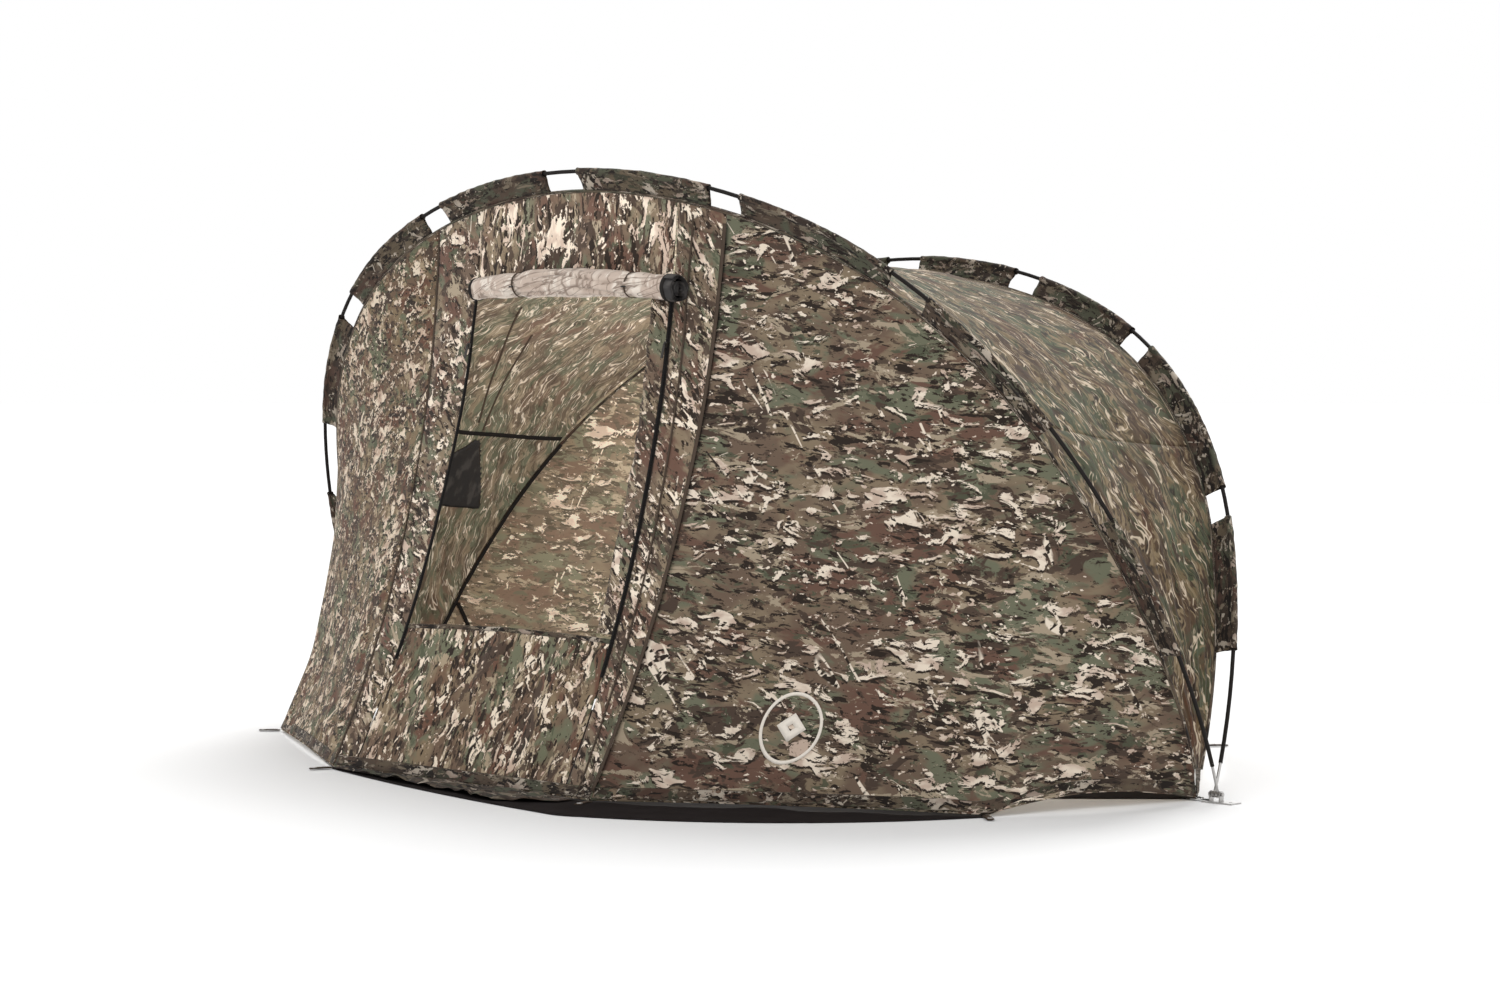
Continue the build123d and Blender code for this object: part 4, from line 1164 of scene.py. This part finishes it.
def arc(a, b, c, count):
    """Points on the circle through a, b and c, from a up to but not including c."""
    (ax, ay), (bx, by), (cx, cy) = a, b, c
    d = 2 * (ax * (by - cy) + bx * (cy - ay) + cx * (ay - by))
    sizes = [x * x + y * y for x, y in (a, b, c)]
    ox = (sizes[0] * (by - cy) + sizes[1] * (cy - ay) + sizes[2] * (ay - by)) / d
    oy = (sizes[0] * (cx - bx) + sizes[1] * (ax - cx) + sizes[2] * (bx - ax)) / d
    turn = [np.arctan2(y - oy, x - ox) for x, y in (a, b, c)]
    sweep = (turn[2] - turn[0] + pi) % (2 * pi) - pi
    r = np.hypot(ax - ox, ay - oy)
    return [np.array((ox + r * cos(turn[0] + sweep * k / count), oy + r * sin(turn[0] + sweep * k / count)))
            for k in range(count)]


def ground_outline():
    """Edge of the groundsheet, with its lip before the door and the wide apron at the right front."""
    a, b = np.array(DOOR_FOOT), np.array(FRONT_CORNER)
    run = np.linalg.norm(b - a)
    d = (b - a) / run
    n = np.array([d[1], -d[0]])
    bend, far = a + d * 0.060 + n * APRON, a + d * run * 0.56 + n * APRON * 0.9
    lip = arc(LIP[0], LIP[1], LIP[2], 30) + arc(LIP[2], LIP[3], bend, 6) + arc(bend, far, b, 30)
    left = [p * MIRROR[:2] for p in FLANK[::-1]]
    return [b, *FLANK, *left, np.array((-0.560, -1.140))] + lip


def groundsheet():
    raw = ground_outline()
    edge = []
    for p, q in zip(raw, raw[1:] + raw[:1]):
        n = max(1, int(np.linalg.norm(q - p) / 0.02))
        edge += [p + (q - p) * i / n for i in range(n)]
    pitch = 0.022 * COARSE
    inner = [np.array((x, y)) for x in np.arange(-1.63, 1.64, pitch) for y in np.arange(-1.40, 1.04, pitch)]
    count = len(edge)
    ring_pts = np.array(edge)
    (px, py), (qx, qy) = ring_pts.T, np.roll(ring_pts, -1, axis=0).T
    keep = []
    for p in inner:
        x, y = p
        with np.errstate(divide="ignore", invalid="ignore"):
            at = (qx - px) * (y - py) / (qy - py) + px
        crossed = ((py > y) != (qy > y)) & (x < at)
        if np.count_nonzero(crossed) % 2 and np.min(np.hypot(*(ring_pts - p).T)) > 0.012:
            keep.append(p)
    pts = [Vector(p) for p in edge + keep]
    out = delaunay_2d_cdt(pts, [(i, (i + 1) % count) for i in range(count)], [], 1, 1e-6)
    xy = np.array([tuple(v) for v in out[0]])
    faces = [tuple(f) for f in out[2]]
    x, y = xy.T
    z = 0.0022 + 0.0013 * waves(301, x, y, 0.30, 12) + 0.0004 * waves(302, x, y, 0.07, 12)
    z = np.clip(z, 0.0009, 0.0058)
    rim = np.min(np.hypot(x[:, None] - px[None, ::3], y[:, None] - py[None, ::3]), axis=1)
    z = np.minimum(z, 0.0012 + rim * 0.06)
    obj = new_mesh("groundsheet", np.column_stack([xy, z]), faces, xy, [FLOOR_PE])
    solidify(obj, 0.0006)
    settle(obj, "base", ["groundsheet"])
    line = np.column_stack([ring_pts * 0.998, np.full(count, 0.0016)])
    line = np.concatenate([line, line[:1]])
    ribbon("groundsheet_hem", line, np.tile(UP, (len(line), 1)), 0.014, 0.0014, FLOOR_PE, "base",
           slot="groundsheet", lift=-0.0002)


groundsheet()

FLAP_X, FLAP_Z = (-0.520, 0.490), (0.0085, 0.0060)


def mud_flap(u, v):
    """Loose cloth on the ground in front of the sill, wide where the groundsheet's lip is wide."""
    x = FLAP_X[0] + (FLAP_X[1] - FLAP_X[0]) * u
    wide = 0.008 + 0.176 * (x - FLAP_X[0]) - 5.0 * np.clip(x - 0.330, 0, 1) ** 2
    return np.stack([x, DOOR_FOOT[1] - 0.006 - wide * v, FLAP_Z[0] + (FLAP_Z[1] - FLAP_Z[0]) * v], -1)


def flap_crease(u, v, p):
    """Folds that run along the flap, and a rolled front edge."""
    x, y = p[..., 0], p[..., 1]
    folds = np.abs(waves(311, x * 0.35, y, 0.06, 10)) * 0.005 + np.abs(waves(312, x, y, 0.09, 10)) * 0.0015
    rim = 0.005 * np.exp(-((v - 0.93) / 0.06) ** 2)
    return -(folds + rim) * np.clip(np.minimum(u, 1 - u) / 0.06, 0, 1) * np.clip(v / 0.1, 0, 1)


def flap_uv(u, v, p):
    return np.stack([p[..., 0], p[..., 1] * 1.2], -1)


panel("sill_flap", mud_flap, steps(0, 1, 0.007), steps(0, 1, 0.03), flap_uv, [CAMO_FLAP, CAMO_FLAP], "base",
      ["sill_flap"], flap_crease)


def peg_loop(name, corner, angle, body, cad_node):
    """Folded webbing with a peg eyelet, pointing out from a hem corner."""
    d = np.array([cos(radians(angle)), sin(radians(angle)), 0.0])
    start = np.array([*corner, 0.0])
    t = np.linspace(0, 1, 24)
    reach = 0.004 + 0.066 * t
    up = np.tile(UP, (24, 1))
    bulge = 0.0012 * np.sin(pi * t)
    for layer, z, share, width in (("lower", 0.0030, 0.2, 0.018), ("upper", 0.0052, 1.0, 0.017)):
        line = start + d * reach[:, None] + UP * (z + bulge * share)[:, None]
        ribbon(f"{name}_{layer}", line, up, width, 0.0013, CAMO_WEB, body, [cad_node])
    ring(f"{name}_eyelet", start + d * 0.057 + UP * 0.0066, (0, 0, 1), 0.0068, 0.0016, STEEL, body)
    box = start + d * 0.022 + UP * 0.0078
    side = np.cross(d, UP)
    corners = [box + d * a * 0.008 + side * b * 0.006
               for a, b in ((-1, -1), (1, -1), (1, 1), (-1, 1), (-1, -1))]
    rows = [(np.linspace(p, q, 8), up[:8]) for p, q in zip(corners, corners[1:])]
    stitches(f"{name}_stitches", rows, body)


for name, (x, y), angle, body, cad_node in (("front_loop", FRONT_CORNER, -38, "base", "front_peg_loops"),
                                            ("door_loop", DOOR_FOOT, -72, "base", "front_peg_loops"),
                                            ("rear_loop", REAR_CORNER, 52, "rear_hem", "rear_peg_loops")):
    peg_loop(f"{name}_right", (x, y), angle, body, cad_node)
    peg_loop(f"{name}_left", (-x, y), 180 - angle, body, cad_node)


def hub_strap(side, turn):
    """Webbing from the cloth corner through a steel ring to the hub bracket."""
    up = np.tile(UP, (40, 1))
    x = np.linspace(1.585, 1.645, 40)
    z = 0.0034 + 0.0016 * np.clip((x - 1.62) / 0.02, 0, 1)
    for layer, dz in (("lower", 0.0), ("upper", 0.0017)):
        ribbon(f"hub_strap_{side}_{layer}", np.column_stack([turn * x, 0 * x, z + dz]), up, 0.020, 0.0014,
               WEBBING, "base", [f"hub_strap_{side}"])
    x = np.linspace(1.650, 1.682, 20)
    ribbon(f"hub_strap_{side}_tail", np.column_stack([turn * x, 0 * x, 0.0046 + 0 * x]), up[:20], 0.018,
           0.0014, WEBBING, "base")
    ring(f"hub_ring_{side}", (turn * 1.6475, 0, 0.0075), (0.25 * turn, 0, 1), 0.0125, 0.0017, STEEL, "base")
    rows = [(np.column_stack([turn * np.linspace(1.59, 1.625, 8), np.full(8, y), np.full(8, 0.0067)]), up[:8])
            for y in (-0.007, 0.007)]
    stitches(f"hub_strap_{side}_stitches", rows, "base")


hub_strap("right", 1)
hub_strap("left", -1)


# ------------------------------------------------------------------ printed mark
def printed_ring():
    """A plain ring and lozenge printed low on the right front panel."""
    crease = front_crease(3)
    u_mid, v_mid, wide, tall = 0.722, 0.138, 0.082, 0.098
    eps = 0.01
    p0 = front_panel(np.array([u_mid]), np.array([v_mid]))[0]
    du = np.linalg.norm(front_panel(np.array([u_mid + eps]), np.array([v_mid]))[0] - p0) / eps
    dv = np.linalg.norm(front_panel(np.array([u_mid]), np.array([v_mid + eps]))[0] - p0) / eps

    def band(name, shape_in, shape_out, count):
        t = np.linspace(0, 2 * pi, count, endpoint=False)
        verts = []
        for shape in (shape_in, shape_out):
            x, y = np.array([shape(a) for a in t]).T
            verts.append(surface_line(front_panel, u_mid - x / du, v_mid + y / dv, crease, 0.0007)[0])
        verts = np.concatenate(verts)
        faces = [(i, (i + 1) % count, count + (i + 1) % count, count + i)[::-1] for i in range(count)]
        obj = new_mesh(name, verts, faces, None, [PRINT])
        solidify(obj, 0.0005)
        settle(obj, FRONT_FAN)

    def oval(k):
        return lambda a: (wide * k * cos(a), tall * k * sin(a))

    def lozenge(k):
        return lambda a: tuple(k * c / (abs(cos(a)) + abs(sin(a))) for c in (cos(a), sin(a)))

    band("mark_ring", oval(0.90), oval(1.0), 72)
    band("mark_lozenge", lozenge(0.010), lozenge(0.040), 48)


printed_ring()

# ------------------------------------------------------------------ finishes of the CAD nodes
DARK_METAL = plain_material("blackened_zinc", (0.05, 0.046, 0.042), 0.42, 0.9, 160.0, 0.3)
FINISH = {f"{name}_{side}": DARK_METAL for name in ("zip_slider", "zip_pull") for side in ("right", "left")}
for rib in ("front", "rear"):
    FINISH |= {f"{rib}_pole": POLE, f"{rib}_ferrules": POLE, f"{rib}_shock_cord": CORD}
for name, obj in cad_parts.items():
    if obj.hide_render:
        continue
    mat = FINISH.get(name, STEEL)
    for s in obj.material_slots:
        s.material = mat
    if not obj.material_slots:
        obj.data.materials.append(mat)


# ------------------------------------------------------------------ stage, light and camera
def stage():
    m, _, shader = material("studio_floor")
    shader.inputs["Base Color"].default_value = (0.77, 0.77, 0.77, 1)
    finish(shader, 1.0, 0.0)
    size = 400.0
    floor = new_mesh("floor", [(-size, -size, 0), (size, -size, 0), (size, size, 0), (-size, size, 0)],
                     [(0, 1, 2, 3)], None, [m], smooth=False)
    world = bpy.data.worlds.new("studio")
    bpy.context.scene.world = world
    world.use_nodes = True
    world.node_tree.nodes["Background"].inputs["Color"].default_value = (1, 1, 1, 1)
    world.node_tree.nodes["Background"].inputs["Strength"].default_value = 1.0


def softbox(name, location, target, size, power):
    lamp = bpy.data.lights.new(name, "AREA")
    lamp.shape = "DISK"
    lamp.size = size
    lamp.energy = power
    obj = bpy.data.objects.new(name, lamp)
    bpy.context.scene.collection.objects.link(obj)
    obj.location = location
    obj.rotation_mode = "QUATERNION"
    obj.rotation_quaternion = (Vector(target) - Vector(location)).to_track_quat("-Z", "Y")
    obj.visible_camera = False


def back_light(direction, power, spread):
    """High light from behind, so that the soft shadow falls in front of the hem."""
    lamp = bpy.data.lights.new("back_light", "SUN")
    lamp.energy = power
    lamp.angle = radians(spread)
    obj = bpy.data.objects.new("back_light", lamp)
    bpy.context.scene.collection.objects.link(obj)
    obj.rotation_mode = "QUATERNION"
    obj.rotation_quaternion = (-Vector(direction)).to_track_quat("-Z", "Y")


def inner_glow(location, radius, power):
    """Stands for the daylight that comes through the cloth."""
    lamp = bpy.data.lights.new("inner_glow", "POINT")
    lamp.shadow_soft_size = radius
    lamp.energy = power
    obj = bpy.data.objects.new("inner_glow", lamp)
    bpy.context.scene.collection.objects.link(obj)
    obj.location = location
    obj.visible_camera = False


def camera():
    yaw, pitch = radians(44.58), radians(1.863)
    data = bpy.data.cameras.new("camera")
    data.lens = 75.7
    data.sensor_width = 36
    cam = bpy.data.objects.new("camera", data)
    bpy.context.scene.collection.objects.link(cam)
    cam.location = (6.610, -6.723, 1.061)
    look = Vector((-sin(yaw) * cos(pitch), cos(yaw) * cos(pitch), -sin(pitch)))
    cam.rotation_mode = "QUATERNION"
    cam.rotation_quaternion = look.to_track_quat("-Z", "Y")
    bpy.context.scene.camera = cam


stage()
softbox("key", (7.5, -5.0, 7.0), (0, 0, 0.6), 4.0, 60)
back_light((-0.40, 0.66, 0.95), 2.1, 34.0)
inner_glow((0.0, 0.0, 0.80), 0.25, 44)
camera()
bpy.context.scene.view_settings.view_transform = "Standard"
